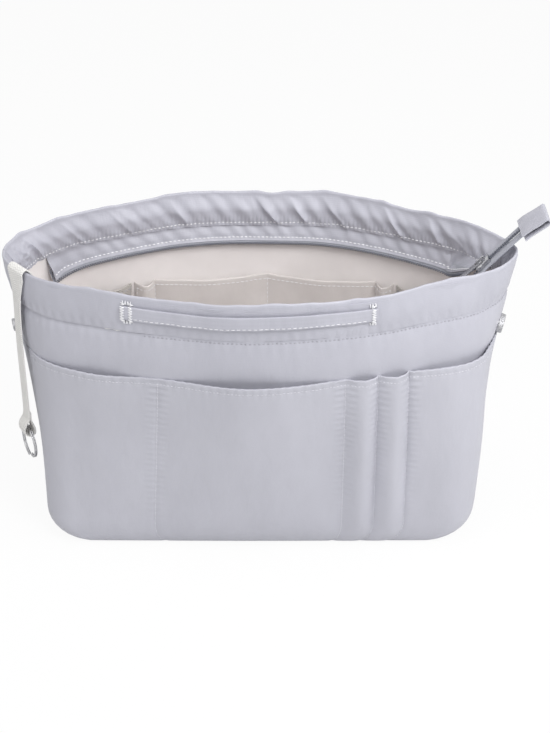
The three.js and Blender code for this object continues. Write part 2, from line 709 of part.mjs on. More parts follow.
// The pull: a plate whose window holds the bridge, and whose end bar passes under it.
const pull = { length: 24, width: 6.5, neck: 4.6, thickness: 0.9, bar: 0.9, window: 5.4, tipRadius: 2.6 };
const pullHeight = sliderTop + (slider.bridgeHeight - slider.bridgeBar) / 2;
function pullPlate() {
  const windowHalf = slider.bridgeWidth / 2 + slider.clearance * 2;
  const { bar, neck, width, length, tipRadius } = pull;
  const plate = new THREE.Shape();
  plate.moveTo(bar / 2, -neck / 2);
  plate.lineTo(bar / 2, neck / 2);
  plate.lineTo(-pull.window, neck / 2);
  plate.quadraticCurveTo(-length / 2, neck / 2, -length + tipRadius * 2, width / 2);
  plate.quadraticCurveTo(-length, width / 2, -length, 0);
  plate.quadraticCurveTo(-length, -width / 2, -length + tipRadius * 2, -width / 2);
  plate.quadraticCurveTo(-length / 2, -neck / 2, -pull.window, -neck / 2);
  plate.holes.push(shapeOf([
    [-bar / 2, -windowHalf], [-bar / 2, windowHalf], [-pull.window, windowHalf], [-pull.window, -windowHalf],
  ]));
  return onTail(plate, pullHeight - pull.thickness / 2, pullHeight + pull.thickness / 2);
}
place("zip_pull", pullPlate(), nickel);

// Inside pockets on the back lining: a satin row with slots, and a mesh pocket at each side of it.
const inside = {
  leftX: 100,
  rightX: 93,
  slotWidth: 13,
  pairWidth: 84,
  meshGap: 2.5,
  meshWidth: 30,
};
const insideFullness = { slot: 8.5, pocket: 8, mesh: 8 };
const insideSteps = { along: 4, up: 3 };
const slotsStart = -inside.leftX + inside.slotWidth;
const slotsEnd = inside.rightX - inside.slotWidth;
const insidePockets = [
  {
    name: "inner_pocket_row",
    edges: [-inside.leftX, slotsStart, slotsEnd - inside.pairWidth, slotsEnd, inside.rightX],
    kinds: ["slot", "pocket", "pocket", "slot"],
    depth: hems.slotDepth,
    material: liningCloth,
  },
  {
    name: "mesh_pocket_left",
    edges: [inside.rightX + inside.meshGap, inside.rightX + inside.meshGap + inside.meshWidth],
    kinds: ["mesh"],
    depth: hems.meshDepth,
    material: meshCloth,
  },
  {
    name: "mesh_pocket_right",
    edges: [-inside.leftX - inside.meshGap - inside.meshWidth, -inside.leftX - inside.meshGap],
    kinds: ["mesh"],
    depth: hems.meshDepth,
    material: meshCloth,
  },
];
for (const pocket of insidePockets) {
  const edges = pocket.edges.map((x) => x / quarterLength);
  const hem = riseAt(bag.height - hems.insideDrop);
  const rises = evenly(hem - pocket.depth, hem, insideSteps.up);
  const stations = [edges[0]];
  for (let i = 0; i + 1 < edges.length; i++)
    stations.push(...evenly(edges[i], edges[i + 1], insideSteps.along).slice(1));
  const bulge = (s, rise) => {
    const i = Math.max(0, edges.findIndex((edge) => edge > s) - 1);
    const across = THREE.MathUtils.clamp((s - edges[i]) / (edges[i + 1] - edges[i]), 0, 1);
    const up = ((rise - rises[0]) / pocket.depth) ** pocketShares.up;
    return insideFullness[pocket.kinds[i]] * Math.sin(Math.PI * across) * up;
  };
  const depth = stripDepth + cloth.gap;
  const skin = (inwards) => (s, rise) => wallPoint(BACK + s, rise, depth + inwards + bulge(s, rise));
  place(pocket.name, sheet(stations, rises, skin(0), skin(cloth.mesh)), pocket.material);
}

// Snaps

for (const { name, station, kind } of snaps) {
  const capInner = wallDepth - panelDepth - cloth.satin;
  const reach = cloth.gap * 2;
  const top = snap.capThickness;
  const post = capInner + cloth.gap;
  const cap = [
    [0, -top], [snap.capRadius - top, -top], [snap.capRadius, -top / 2], [snap.capRadius, 0],
    [snap.postRadius, 0], [snap.postRadius, post], [0, post],
  ];
  place(`snap_cap_${name}`, turnedOnWall(cap, station, wallDepth + reach - cloth.satin), nickel);

  const stud = [
    [0, snap.roof], [snap.postRadius + snap.holeClearance, snap.roof],
    [snap.postRadius + snap.holeClearance, 0], [snap.flangeRadius, 0],
    [snap.flangeRadius, snap.flangeThickness], [snap.studRadius - snap.studGroove * 2, snap.flangeThickness],
    [snap.studRadius - snap.studGroove * 2, snap.flangeThickness + snap.studGroove * 2],
    [snap.studRadius, snap.studHeight / 2], [snap.studRadius, snap.studHeight - snap.studGroove],
    [snap.studTipRadius, snap.studHeight], [0, snap.studHeight],
  ];
  const socket = [
    [0, snap.roof], [snap.postRadius + snap.holeClearance, snap.roof],
    [snap.postRadius + snap.holeClearance, 0], [snap.socketRadius, 0],
    [snap.socketRadius, snap.socketNeck], [snap.socketRadius - snap.studGroove, snap.socketHeight],
    [snap.socketBore, snap.socketHeight], [snap.socketBore, snap.socketHeight - snap.socketBoreDepth],
    [0, snap.socketHeight - snap.socketBoreDepth],
  ];
  const half = turnedOnWall(kind === "stud" ? stud : socket, station, panelDepth - cloth.gap);
  place(`snap_${name}`, half, nickel);
}

// Key strap: webbing from inside the bag over the rim, then a hanging stretch with a folded loop
// that holds a split ring.
const strap = {
  station: -0.835,
  width: 11,
  thickness: 1.2,
  insideDrop: 34,
  clear: 1.2,
  outsideClear: 4.1,
  overRim: 1.4,
  outsideDrop: 5,
  foldGap: 0.8,
  length: 120,
  loopHeight: 15,
  loopHalfWidth: 4.2,
  eyeSeam: 0.7,
  hangAngle: 18,
};
const strapRise = topRise;
const strapOut = outwardAt(strap.station, strapRise);
const hangTurn = THREE.MathUtils.degToRad(strap.hangAngle);
const hangOut = new THREE.Vector3(-Math.cos(hangTurn), -Math.sin(hangTurn), 0);
const hangSide = new THREE.Vector3(-hangOut.y, hangOut.x, 0);
const strapZero = wallPoint(strap.station, strapRise, panelDepth);

// Extrudes a shape drawn outwards and upwards from the rim, across the strap's width.
function acrossStrap(shape, out) {
  const geometry = extruded(shape, strap.width).translate(0, 0, -strap.width / 2);
  const up = new THREE.Vector3(0, 0, 1);
  const frame = new THREE.Matrix4().makeBasis(out, up, new THREE.Vector3().crossVectors(out, up));
  frame.setPosition(strapZero);
  return geometry.applyMatrix4(frame);
}
const strapInnerX = -(wallDepth - panelDepth) - strap.clear * 2;
const strapOuterX = strap.outsideClear;
const rimTop = cloth.gap + facing.overRim;
function strapBase() {
  const { thickness, insideDrop, outsideDrop, overRim } = strap;
  const top = rimTop + overRim;
  return shapeOf([
    [strapOuterX, -outsideDrop], [strapOuterX, top], [strapInnerX, top], [strapInnerX, -insideDrop],
    [strapInnerX - thickness, -insideDrop], [strapInnerX - thickness, top + thickness / 2],
    [strapInnerX, top + thickness], [strapOuterX, top + thickness],
    [strapOuterX + thickness, top + thickness / 2], [strapOuterX + thickness, -outsideDrop],
  ]);
}
place("key_strap_root", acrossStrap(strapBase(), strapOut), webbing);

const strapMiddleX = strapOuterX + strap.thickness / 2;
const eyeRim = strap.thickness + strap.eyeSeam;
const hangTop = -strap.outsideDrop - strap.foldGap;
const loopFoot = hangTop - strap.length;
function hangingStrap() {
  const { thickness, loopHeight, loopHalfWidth } = strap;
  const [left, right] = [strapMiddleX - thickness / 2, strapMiddleX + thickness / 2];
  const shoulder = loopFoot + loopHeight;
  const shape = new THREE.Shape();
  const [near, far] = [strapMiddleX - loopHalfWidth, strapMiddleX + loopHalfWidth];
  const waist = loopFoot + loopHeight / 2;
  const heel = loopFoot + loopHalfWidth;
  shape.moveTo(left, hangTop);
  shape.lineTo(left, shoulder);
  shape.quadraticCurveTo(near, waist, near, heel);
  shape.quadraticCurveTo(near, loopFoot, strapMiddleX, loopFoot);
  shape.quadraticCurveTo(far, loopFoot, far, heel);
  shape.quadraticCurveTo(far, waist, right, shoulder);
  shape.lineTo(right, hangTop);
  const eye = new THREE.Path();
  const eyeHalf = [loopHalfWidth - thickness, loopHeight / 2 - eyeRim];
  eye.absellipse(strapMiddleX, waist, ...eyeHalf, 0, Math.PI * 2, true);
  shape.holes.push(eye);
  return acrossStrap(shape, hangOut);
}
place("key_strap", hangingStrap(), webbing);

// The split ring: two flat turns of wire, one behind the other.
const ring = {
  meanRadius: 11.6,
  wire: 1.7,
  turn: 0.8,
  turnGap: 0.35,
  lift: 1.5,
  endGap: 0.5,
  turns: 2,
  steps: 20,
};
const ringDrop = ring.meanRadius - Math.sqrt(ring.meanRadius ** 2 - (strap.width / 2) ** 2);
const ringTopZ = loopFoot + eyeRim + ring.lift + ring.wire / 2 + ringDrop;
const ringTop = strapZero.clone().addScaledVector(hangOut, strapMiddleX).setZ(strapZero.z + ringTopZ);
function splitRing() {
  const pitch = ring.turn + ring.turnGap;
  const count = ring.turns * ring.steps;
  const sweep = ring.turns * Math.PI * 2 - ring.endGap / ring.meanRadius;
  const rings = [];
  for (let i = 0; i <= count; i++) {
    const share = i / count;
    const angle = -Math.PI / 2 + share * sweep;
    const across = (share - 1 / 2) * ring.turns * pitch;
    const at = (radial, axial) => ringTop.clone()
      .addScaledVector(hangSide, Math.cos(angle) * (ring.meanRadius + radial))
      .addScaledVector(hangOut, across + axial)
      .add(new THREE.Vector3(0, 0, Math.sin(angle) * (ring.meanRadius + radial) - ring.meanRadius));
    rings.push([
      at(-ring.wire / 2, -ring.turn / 2), at(ring.wire / 2, -ring.turn / 2),
      at(ring.wire / 2, ring.turn / 2), at(-ring.wire / 2, ring.turn / 2),
    ]);
  }
  return loft(rings);
}
place("key_ring", splitRing(), nickel);

export default organizer;
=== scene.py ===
import math
import random
import bpy
import numpy as np
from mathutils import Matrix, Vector


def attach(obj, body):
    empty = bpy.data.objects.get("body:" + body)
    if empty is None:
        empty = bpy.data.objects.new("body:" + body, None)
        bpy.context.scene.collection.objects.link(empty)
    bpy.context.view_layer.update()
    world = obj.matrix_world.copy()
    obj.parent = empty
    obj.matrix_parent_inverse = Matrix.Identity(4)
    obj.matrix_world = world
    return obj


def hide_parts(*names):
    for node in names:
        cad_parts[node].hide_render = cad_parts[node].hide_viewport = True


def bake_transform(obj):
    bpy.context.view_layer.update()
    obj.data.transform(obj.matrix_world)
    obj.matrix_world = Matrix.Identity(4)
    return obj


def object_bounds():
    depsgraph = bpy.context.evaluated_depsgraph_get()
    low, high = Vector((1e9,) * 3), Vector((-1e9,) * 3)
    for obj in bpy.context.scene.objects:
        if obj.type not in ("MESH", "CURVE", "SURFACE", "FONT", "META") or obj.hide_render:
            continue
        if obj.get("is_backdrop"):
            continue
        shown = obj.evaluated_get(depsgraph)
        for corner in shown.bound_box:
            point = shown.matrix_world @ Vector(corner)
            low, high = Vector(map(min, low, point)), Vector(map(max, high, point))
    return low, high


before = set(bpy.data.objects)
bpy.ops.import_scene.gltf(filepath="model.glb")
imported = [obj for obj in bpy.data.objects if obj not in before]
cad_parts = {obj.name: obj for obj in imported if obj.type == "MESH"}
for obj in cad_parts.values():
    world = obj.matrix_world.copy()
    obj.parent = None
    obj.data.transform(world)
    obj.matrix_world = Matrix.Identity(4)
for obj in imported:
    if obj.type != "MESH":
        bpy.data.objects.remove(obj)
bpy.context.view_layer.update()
print("frame loaded")

mm = 0.001
seam = {"gap": 0.0004, "satin": 0.0006, "lining": 0.0006}
depths = {"pocket": 0, "panel": 0.001, "foam": 0.002, "lining": 0.0039, "strip": 0.0049, "facing": 0.0059}
front, back = 0, 2


class Wire:
    # a shader output that takes part in plain arithmetic
    def __init__(self, nodes, socket):
        self.nodes, self.socket = nodes, socket

    def maths(self, operation, *terms):
        return self.nodes.add("ShaderNodeMath", {"operation": operation}, dict(enumerate(terms)))

    def __add__(self, other):
        return self.maths("ADD", self, other)

    def __sub__(self, other):
        return self.maths("SUBTRACT", self, other)

    def __rsub__(self, other):
        return self.maths("SUBTRACT", other, self)

    def __mul__(self, other):
        return self.maths("MULTIPLY", self, other)

    __radd__, __rmul__ = __add__, __mul__

    def wave(self):
        return self.maths("SINE", self)

    def swell(self):
        # a wave between 0 and 1
        return self.wave() * 0.5 + 0.5

    def between(self, low, high):
        # 0 at low, 1 at high, clamped
        return self.nodes.add("ShaderNodeMapRange", {}, {"Value": self, "From Min": low, "From Max": high})


class Nodes:
    # a node tree
    def __init__(self, tree):
        self.tree = tree

    def feed(self, socket, value):
        if isinstance(value, Wire):
            self.tree.links.new(value.socket, socket)
        elif socket.type == "RGBA" and len(value) == 3:
            socket.default_value = (*value, 1)
        else:
            socket.default_value = value

    def add(self, kind, settings, values, output=0):
        node = self.tree.nodes.new(kind)
        for key, value in settings.items():
            setattr(node, key, value)
        for key, value in values.items():
            self.feed(node.inputs[key], value)
        return Wire(self, node.outputs[output])

    def ray(self, kind="Is Camera Ray"):
        return self.add("ShaderNodeLightPath", {}, {}, kind)

    def surface(self, output, share, one, other):
        mixed = self.add("ShaderNodeMixShader", {}, {0: share, 1: one, 2: other})
        self.feed(self.tree.nodes[output].inputs["Surface"], mixed)


class Paint(Nodes):
    # a material and its shader
    def __init__(self, name, **fixed):
        self.material = bpy.data.materials.new(name)
        self.material.use_nodes = True
        super().__init__(self.material.node_tree)
        self.shader = self.tree.nodes["Principled BSDF"]
        self.set(**fixed)

    def place(self, scale=(1, 1, 1), turn=0, own=True):
        # the piece's own cloth coordinates in metres, or its object coordinates
        source = self.add("ShaderNodeTexCoord", {}, {}, "UV" if own else "Object")
        return self.add("ShaderNodeMapping", {}, {"Vector": source, "Scale": scale, "Rotation": (0, 0, turn)})

    def noise(self, where, scale, detail=2.0, rough=0.5):
        values = {"Vector": where, "Scale": scale, "Detail": detail, "Roughness": rough}
        return self.add("ShaderNodeTexNoise", {}, values)

    def axes(self, where):
        node = self.add("ShaderNodeSeparateXYZ", {}, {"Vector": where}).socket.node
        return [Wire(self, node.outputs[i]) for i in range(3)]

    def mix(self, share, one, other):
        return self.add("ShaderNodeMix", {"data_type": "RGBA"}, {0: share, 6: one, 7: other}, 2)

    def bump(self, height, distance, strength=1.0, under=None):
        values = {"Height": height, "Distance": distance, "Strength": strength}
        if under:
            values["Normal"] = under
        return self.add("ShaderNodeBump", {}, values)

    def set(self, **sockets):
        for name, value in sockets.items():
            self.feed(self.shader.inputs[name.replace("_", " ")], value)
        return self.material

    def finish(self, tone, dark, light, rough, normal, **more):
        return self.set(Base_Color=self.mix(tone, dark, light), Roughness=rough, Normal=normal, **more)


def satinPaint(name, light, dark, gloss=0.4, crumple=0.0006):
    paint = Paint(name, Specular_IOR_Level=0.42, Sheen_Weight=0.12, Sheen_Roughness=0.4, Anisotropic=0.35)
    broad = paint.noise(paint.place((1, 0.45, 1), 0.3), scale=26, detail=3, rough=0.55)
    small = paint.noise(paint.place((1, 0.5, 1), -0.5), scale=110, detail=3, rough=0.6)
    along, up, _ = paint.axes(paint.place())
    ribs = (along * 9000).swell() * (up * 5200).swell()
    tone = broad * 0.65 + small * 0.2 + ribs * 0.15
    folds = paint.bump(broad, distance=0.0022, strength=0.8)
    creases = paint.bump(small, distance=crumple, strength=0.7, under=folds)
    weave = paint.bump(ribs, distance=0.00006, strength=0.5, under=creases)
    return paint.finish(tone.between(0.3, 0.75), dark, light, gloss + small * 0.14 + ribs * 0.05, weave)


def plainClothPaint(name, light, dark, pitch=0.0007):
    paint = Paint(name, Specular_IOR_Level=0.25, Sheen_Weight=0.2, Sheen_Roughness=0.6)
    along, up, _ = paint.axes(paint.place())
    broad = paint.noise(paint.place(), scale=30, detail=3)
    turns = 2 * math.pi / pitch
    weave = (along * turns).wave() * (up * turns).wave() * 0.5 + 0.5
    tone = (broad * 0.7 + weave * 0.3).between(0.25, 0.75)
    folds = paint.bump(broad, distance=0.0016, strength=0.8)
    threads = paint.bump(weave, distance=0.00012, strength=0.6, under=folds)
    return paint.finish(tone, dark, light, 0.72 + weave * 0.12, threads)


def netPaint(name, light, dark, cell=0.0016):
    paint = Paint(name, Specular_IOR_Level=0.25, Sheen_Weight=0.15)
    along, up, _ = paint.axes(paint.place((1, 1, 1), math.pi / 4))
    turns = 2 * math.pi / cell
    holes = (along * turns).swell() * (up * turns).swell()
    thread = 1 - holes.between(0.42, 0.58)
    broad = paint.noise(paint.place(), scale=40)
    tone = (broad * 0.6 + thread * 0.4).between(0.3, 0.8)
    raised = paint.bump(thread, distance=0.0002, strength=0.6)
    return paint.finish(tone, dark, light, 0.75 + broad * 0.1, raised, Alpha=thread)


def foamPaint(name, light, dark):
    paint = Paint(name, Specular_IOR_Level=0.2)
    cells = paint.noise(paint.place(own=False), scale=900, rough=0.6)
    rough = 0.9 + cells * 0.08
    return paint.finish(cells.between(0.3, 0.7), dark, light, rough, paint.bump(cells, distance=0.0003, strength=0.6))


def tapePaint(name, light, dark):
    paint = Paint(name, Specular_IOR_Level=0.25, Sheen_Weight=0.15)
    along, up, _ = paint.axes(paint.place())
    slant = (along * 4200 + (up * 1300).wave() * 2.2).swell()
    weave = slant * 0.6 + (up * 6200).swell() * 0.4
    return paint.finish(weave, dark, light, 0.68 + weave * 0.14, paint.bump(weave, distance=0.00015, strength=0.7))


def webbingPaint(name, light, dark):
    paint = Paint(name, Specular_IOR_Level=0.3, Sheen_Weight=0.2)
    along, up, _ = paint.axes(paint.place())
    rows = (up * 4200 + (along * 3400).wave() * 1.6).swell()
    worn = paint.noise(paint.place(), scale=160, detail=3, rough=0.6)
    tone = (rows * 0.6 + worn * 0.4).between(0.2, 0.8)
    return paint.finish(tone, dark, light, 0.66 + rows * 0.14, paint.bump(rows, distance=0.0003, strength=0.8))


def threadPaint(name, light, dark):
    paint = Paint(name, Specular_IOR_Level=0.4, Sheen_Weight=0.1)
    x, y, z = paint.axes(paint.place(own=False))
    twist = ((x + y + z) * 9000).swell()
    return paint.finish(twist, dark, light, 0.5 + twist * 0.15, paint.bump(twist, distance=0.00005, strength=0.6))


def nylonPaint(name, light, dark):
    paint = Paint(name, Specular_IOR_Level=0.5, Coat_Weight=0.1, Coat_Roughness=0.3)
    grain = paint.noise(paint.place(own=False), scale=1400)
    rough = 0.36 + grain * 0.12
    relief = paint.bump(grain, distance=0.00004, strength=0.5)
    return paint.finish(grain.between(0.3, 0.7), dark, light, rough, relief)


def metalPaint(name, light, dark, rough=0.2, knurl=0):
    paint = Paint(name, Specular_IOR_Level=0.5)
    where = paint.place(own=False)
    wear = paint.noise(where, scale=420, detail=4, rough=0.62)
    brushed = paint.noise(paint.place((1, 1, 9), own=False), scale=600)
    relief = paint.bump(brushed, distance=0.00003, strength=0.5)
    if knurl:
        x, y, z = paint.axes(where)
        beads = ((x + y) * knurl).wave() * (z * knurl).wave() * 0.5 + 0.5
        relief = paint.bump(beads, distance=0.00025, strength=0.8, under=relief)
    tone, metallic = wear.between(0.35, 0.7), 0.94 + wear * 0.06
    return paint.finish(tone, dark, light, rough + wear * 0.14, relief, Metallic=metallic)


paints = {
    "satin": satinPaint("satin", (0.50, 0.50, 0.56), (0.43, 0.43, 0.485)),
    "facing": satinPaint("facingSatin", (0.50, 0.50, 0.56), (0.42, 0.42, 0.475), 0.38, 0.0007),
    "pocket": satinPaint("pocketSatin", (0.495, 0.495, 0.55), (0.435, 0.435, 0.485), 0.42, 0.0005),
    # the zip strip is the same satin as the walls, painted darker: painted shade for its place deep inside the bag
    "strip": satinPaint("stripSatinShaded", (0.46, 0.46, 0.515), (0.39, 0.39, 0.44), 0.36, 0.0008),
    "lining": plainClothPaint("liningCloth", (0.90, 0.855, 0.845), (0.80, 0.755, 0.74)),
    # the slot-row pockets are lining cloth, painted darker: painted shade for their place low inside the bag
    "shadedSlots": plainClothPaint("shadedSlotCloth", (0.70, 0.66, 0.64), (0.60, 0.56, 0.545)),
    "net": netPaint("netCloth", (0.56, 0.53, 0.50), (0.44, 0.415, 0.39)),
    "foam": foamPaint("foamSheet", (0.88, 0.88, 0.86), (0.76, 0.76, 0.74)),
    "board": foamPaint("boardSheet", (0.42, 0.42, 0.42), (0.30, 0.30, 0.30)),
    "tape": tapePaint("zipTape", (0.46, 0.47, 0.52), (0.34, 0.35, 0.40)),
    "coil": nylonPaint("zipCoil", (0.17, 0.18, 0.22), (0.09, 0.095, 0.12)),
    "webbing": webbingPaint("keyWebbing", (0.86, 0.85, 0.83), (0.70, 0.69, 0.67)),
    "thread": threadPaint("paleThread", (0.86, 0.86, 0.87), (0.70, 0.70, 0.73)),
    "pocketThread": threadPaint("pocketThread", (0.74, 0.74, 0.78), (0.44, 0.44, 0.49)),
    "shadeThread": threadPaint("greyThread", (0.42, 0.42, 0.46), (0.30, 0.30, 0.34)),
    "nickel": metalPaint("nickel", (0.62, 0.62, 0.63), (0.44, 0.44, 0.46)),
    "snap": metalPaint("snapMetal", (0.60, 0.60, 0.61), (0.38, 0.38, 0.40), 0.28, 5200),
}
print("materials made")

# the wall that every piece lies on

bag = {
    "length": 0.296, "depth": 0.130, "height": 0.202, "corner": 0.020, "endRounding": 0.022, "sideRounding": 0.008,
    "reach": {"right": 0.174, "left": 0.1685}, "bow": 0.0855, "dip": {"right": 0.0035, "left": 0.0045},
    "curves": [(0.174, 1.36, 0.56), (0.174, 1.5, 0.63), (0.1685, 1.26, 0.46), (0.1685, 1.41, 0.49)],
    "crown": 0.22,
}


def byLength(points):
    steps = np.linalg.norm(np.diff(points, axis=0), axis=1)
    lengths = np.concatenate([[0], np.cumsum(steps)])
    return lengths / lengths[-1], points, lengths[-1]


def mouthQuarter(reach, power, root):
    t = np.sin(np.linspace(0, 1, 4001) * np.pi / 2)
    t = 1 - (1 - t) ** 1.5
    across = np.sin(t * np.pi / 2)
    crown = bag["crown"]
    rounded = (across ** 2 + crown ** 2) ** (power / 2) - crown ** power
    whole = (1 + crown ** 2) ** (power / 2) - crown ** power
    fall = np.maximum(0, 1 - rounded / whole) ** root
    return byLength(np.stack([reach * across, bag["bow"] * fall], 1))


def baseQuarter():
    turns = np.linspace(np.pi / 2, 0, 60)
    x, y, r = bag["length"] / 2 - bag["corner"], bag["depth"] / 2 - bag["corner"], bag["corner"]
    corner = np.stack([x + r * np.cos(turns), y + r * np.sin(turns)], 1)
    return byLength(np.vstack([[0, bag["depth"] / 2], corner, [bag["length"] / 2, 0]]))


baseShares, basePoints, quarterLength = baseQuarter()
rims = [mouthQuarter(*curve) for curve in bag["curves"]]
roundingRise = bag["endRounding"] * math.pi / 2
topRise = roundingRise + bag["height"] - bag["endRounding"]


def riseAt(height):
    return roundingRise + height - bag["endRounding"]


def planPoint(station, height):
    turn = np.mod(station, 4)
    quarter = np.minimum(3, np.floor(turn)).astype(int)
    part = turn - quarter
    outwards = np.where(quarter % 2 == 0, part, 1 - part)
    base = [np.interp(outwards, baseShares, basePoints[:, i]) for i in (0, 1)]
    rim = [np.choose(quarter, [np.interp(outwards, s, p[:, i]) for s, p, _ in rims]) for i in (0, 1)]
    share = np.maximum(0, height / bag["height"])
    flare = share ** np.where(quarter < 2, 1.6, 1.2)
    x = (base[0] + (rim[0] - base[0]) * flare) * np.where(quarter < 2, 1, -1)
    y = (base[1] + (rim[1] - base[1]) * share ** 0.75) * np.where((quarter == 0) | (quarter == 3), -1, 1)
    return x, y


# the soft sway of the rim, outwards, in metres: each wave is its count, start and size
sway = {
    "most": 0.0016, "waves": [(5.3, 0.4, 1.0), (9.1, 1.7, 0.6), (14.7, 4.1, 0.35)], "lift": 0.0011,
    "leftBulge": 0.0024, "leftWidth": 0.11, "calmEnds": 0.3,
}


def swayAt(station, share):
    total = sum(size * np.sin(count * station * np.pi / 2 + start) for count, start, size in sway["waves"])
    ends = clamp((np.abs(np.mod(station, 2) - 1)) / sway["calmEnds"])
    leftEnd = bell(np.mod(station, 4) - 3, sway["leftWidth"]) * sway["leftBulge"] * clamp(share) ** 10
    return total / sum(size for _, _, size in sway["waves"]) * sway["most"] * ends * clamp(share) ** 3 + leftEnd


def wallPoint(station, rise, depth):
    station, rise, depth = np.broadcast_arrays(*(np.asarray(v, float) for v in (station, rise, depth)))
    turn = np.minimum(rise / bag["endRounding"], np.pi / 2)
    rimX = planPoint(station, np.full(station.shape, bag["height"]))[0]
    dip = np.where(rimX > 0, bag["dip"]["right"] * np.abs(rimX / bag["reach"]["right"]) ** 3,
                   bag["dip"]["left"] * np.abs(rimX / bag["reach"]["left"]) ** 3)
    wallShare = (bag["height"] - dip - bag["endRounding"]) / (bag["height"] - bag["endRounding"])
    height = np.where(rise < roundingRise, bag["endRounding"] * (1 - np.cos(turn)),
                      bag["endRounding"] + (rise - roundingRise) * wallShare)
    tuckX = 1 - bag["endRounding"] * (1 - np.sin(turn)) / (bag["length"] / 2)
    tuckY = 1 - bag["sideRounding"] * (1 - np.sin(turn)) / (bag["depth"] / 2)

    def tucked(s):
        x, y = planPoint(s, height)
        return x * tuckX, y * tuckY

    (ax, ay), (bx, by), (x, y) = tucked(station - 0.004), tucked(station + 0.004), tucked(station)
    run = np.hypot(bx - ax, by - ay)
    inX, inY = -(by - ay) / run, (bx - ax) / run
    share = rise / topRise
    depth = depth - swayAt(station, share)
    lift = sway["lift"] * np.sin(7.3 * station * np.pi / 2 + 0.8) * clamp(share) ** 8
    lift = lift * clamp(np.abs(np.mod(station, 2) - 1) / sway["calmEnds"])
    return np.stack([x + inX * depth * np.sin(turn), y + inY * depth * np.sin(turn),
                     height + depth * np.cos(turn) + lift], -1)


def outwardAt(station, rise):
    out = wallPoint(station, rise, 0) - wallPoint(station, rise, seam["gap"])
    out[..., 2] = 0
    return out / np.linalg.norm(out, axis=-1, keepdims=True)


def unit(vectors):
    return vectors / np.maximum(np.linalg.norm(vectors, axis=-1, keepdims=True), 1e-12)


def clamp(share):
    return np.clip(share, 0, 1)


def eased(share):
    # from 0 to 1 with a soft start and end
    share = clamp(share)
    return share * share * (3 - 2 * share)


def bell(x, width):
    return np.exp(-(x / width) ** 2)


def ridge(x, line):
    # a raised or sunken line across x: its height, its place and its width
    height, place, width = line
    return height * bell(x - place, width)


def ripple(x, pitch, start=0):
    return np.sin(x / pitch * 2 * np.pi + start)


def travelled(points):
    return np.concatenate([[0], np.cumsum(np.linalg.norm(np.diff(points, axis=0), axis=1))])


def joined(*stretches):
    # stretches of one row of places, each starting where the last ended
    return np.concatenate([stretches[0], *[stretch[1:] for stretch in stretches[1:]]])


def alone(*objects):
    bpy.ops.object.select_all(action="DESELECT")
    for thing in objects:
        thing.select_set(True)
    bpy.context.view_layer.objects.active = objects[0]


# each cloth's cut before it was sewn: width, length and area in metres, how it is held, and what it lies on; those
# with a word in braces are cut alike for both walls
wallCuts = {
    "{}PanelCloth": (0.404, 0.212, 0.0808, "stretched", ["{}FoamSheet"]),
    "{}LiningCloth": (0.390, 0.197, 0.0724, "stretched", ["{}FoamSheet"]),
    "{}StripCloth": (0.304, 0.0245, 0.0055, "hung", ["{}FacingCloth"]),
    "{}ZipTape": (0.381, 0.0102, 0.0029, "stretched", ["{}StripCloth"]),
    "{}GrabStrip": (0.166, 0.0107, 0.00173, "stretched", ["{}FacingCloth"]),
}
cuts = {
    name.format(wall): (width, length, area, held, [cloth.format(wall) for cloth in under])
    for name, (width, length, area, held, under) in wallCuts.items() for wall in ("front", "back")
}
cuts |= {
    "frontPocketCloth": (0.422, 0.168, 0.0659, "gathered", ["frontPanelCloth"]),
    "backPocketCloth": (0.428, 0.168, 0.0659, "gathered", ["backPanelCloth"]),
    "bottomCloth": (0.302, 0.112, 0.0284, "laid", []),
    "bottomLining": (0.302, 0.112, 0.0284, "laid", ["baseBoard"]),
    "frontFacingCloth": (0.428, 0.056, 0.0209, "folded", ["frontPanelCloth"]),
    "backFacingCloth": (0.432, 0.056, 0.0210, "folded", ["backPanelCloth"]),
    "frontStripEnd": (0.042, 0.021, 0.00071, "hung", ["frontFacingCloth"]),
    "backStripEnd": (0.042, 0.021, 0.00069, "hung", ["backFacingCloth"]),
    "endTabCloth": (0.0275, 0.0415, 0.00112, "folded", ["frontZipTape", "backZipTape"]),
    "slotRowCloth": (0.208, 0.098, 0.0192, "gathered", ["backLiningCloth"]),
    "netPocketLeftCloth": (0.035, 0.090, 0.0028, "gathered", ["backLiningCloth"]),
    "netPocketRightCloth": (0.031, 0.090, 0.0024, "gathered", ["backLiningCloth"]),
    "keyStrapRoot": (0.0165, 0.043, 0.00069, "hung", ["backFacingCloth"]),
    "keyStrapWebbing": (0.0165, 0.164, 0.00188, "hung", ["keyStrapRoot"]),
}


def finished(piece, name, paint, body="organizer", replaced=(), angle=50):
    piece.name = piece.data.name = name
    alone(piece)
    bpy.ops.object.transform_apply(location=True, rotation=True, scale=True)
    bpy.ops.object.shade_smooth_by_angle(angle=math.radians(angle))
    piece.data.materials.clear()
    piece.data.materials.append(paints[paint])
    if body:
        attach(piece, body)
    if replaced:
        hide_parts(*replaced)
    return piece


def withModifier(piece, kind, **settings):
    alone(piece)
    modifier = piece.modifiers.new(kind.title(), kind)
    for key, value in settings.items():
        setattr(modifier, key, value)
    bpy.ops.object.modifier_apply(modifier=modifier.name)
    return piece


# steps in edit mode, each on the whole mesh
def meshSteps(piece, *steps):
    alone(piece)
    bpy.ops.object.mode_set(mode="EDIT")
    for step in steps:
        bpy.ops.mesh.select_all(action="SELECT")
        step()
    bpy.ops.object.mode_set(mode="OBJECT")
    return piece


def merged():
    bpy.ops.mesh.remove_doubles(threshold=1e-6)


def endsFilled():
    bpy.ops.mesh.select_all(action="DESELECT")
    bpy.ops.mesh.select_mode(type="EDGE")
    bpy.ops.mesh.select_non_manifold()
    bpy.ops.mesh.fill()
    bpy.ops.mesh.select_mode(type="VERT")


def facedOut():
    bpy.ops.mesh.normals_make_consistent(inside=False)


def pointsOf(piece):
    return np.array([v.co[:] for v in piece.data.vertices])


def movedTo(piece, points):
    piece.data.vertices.foreach_set("co", points.astype(np.float32).ravel())
    piece.data.update()


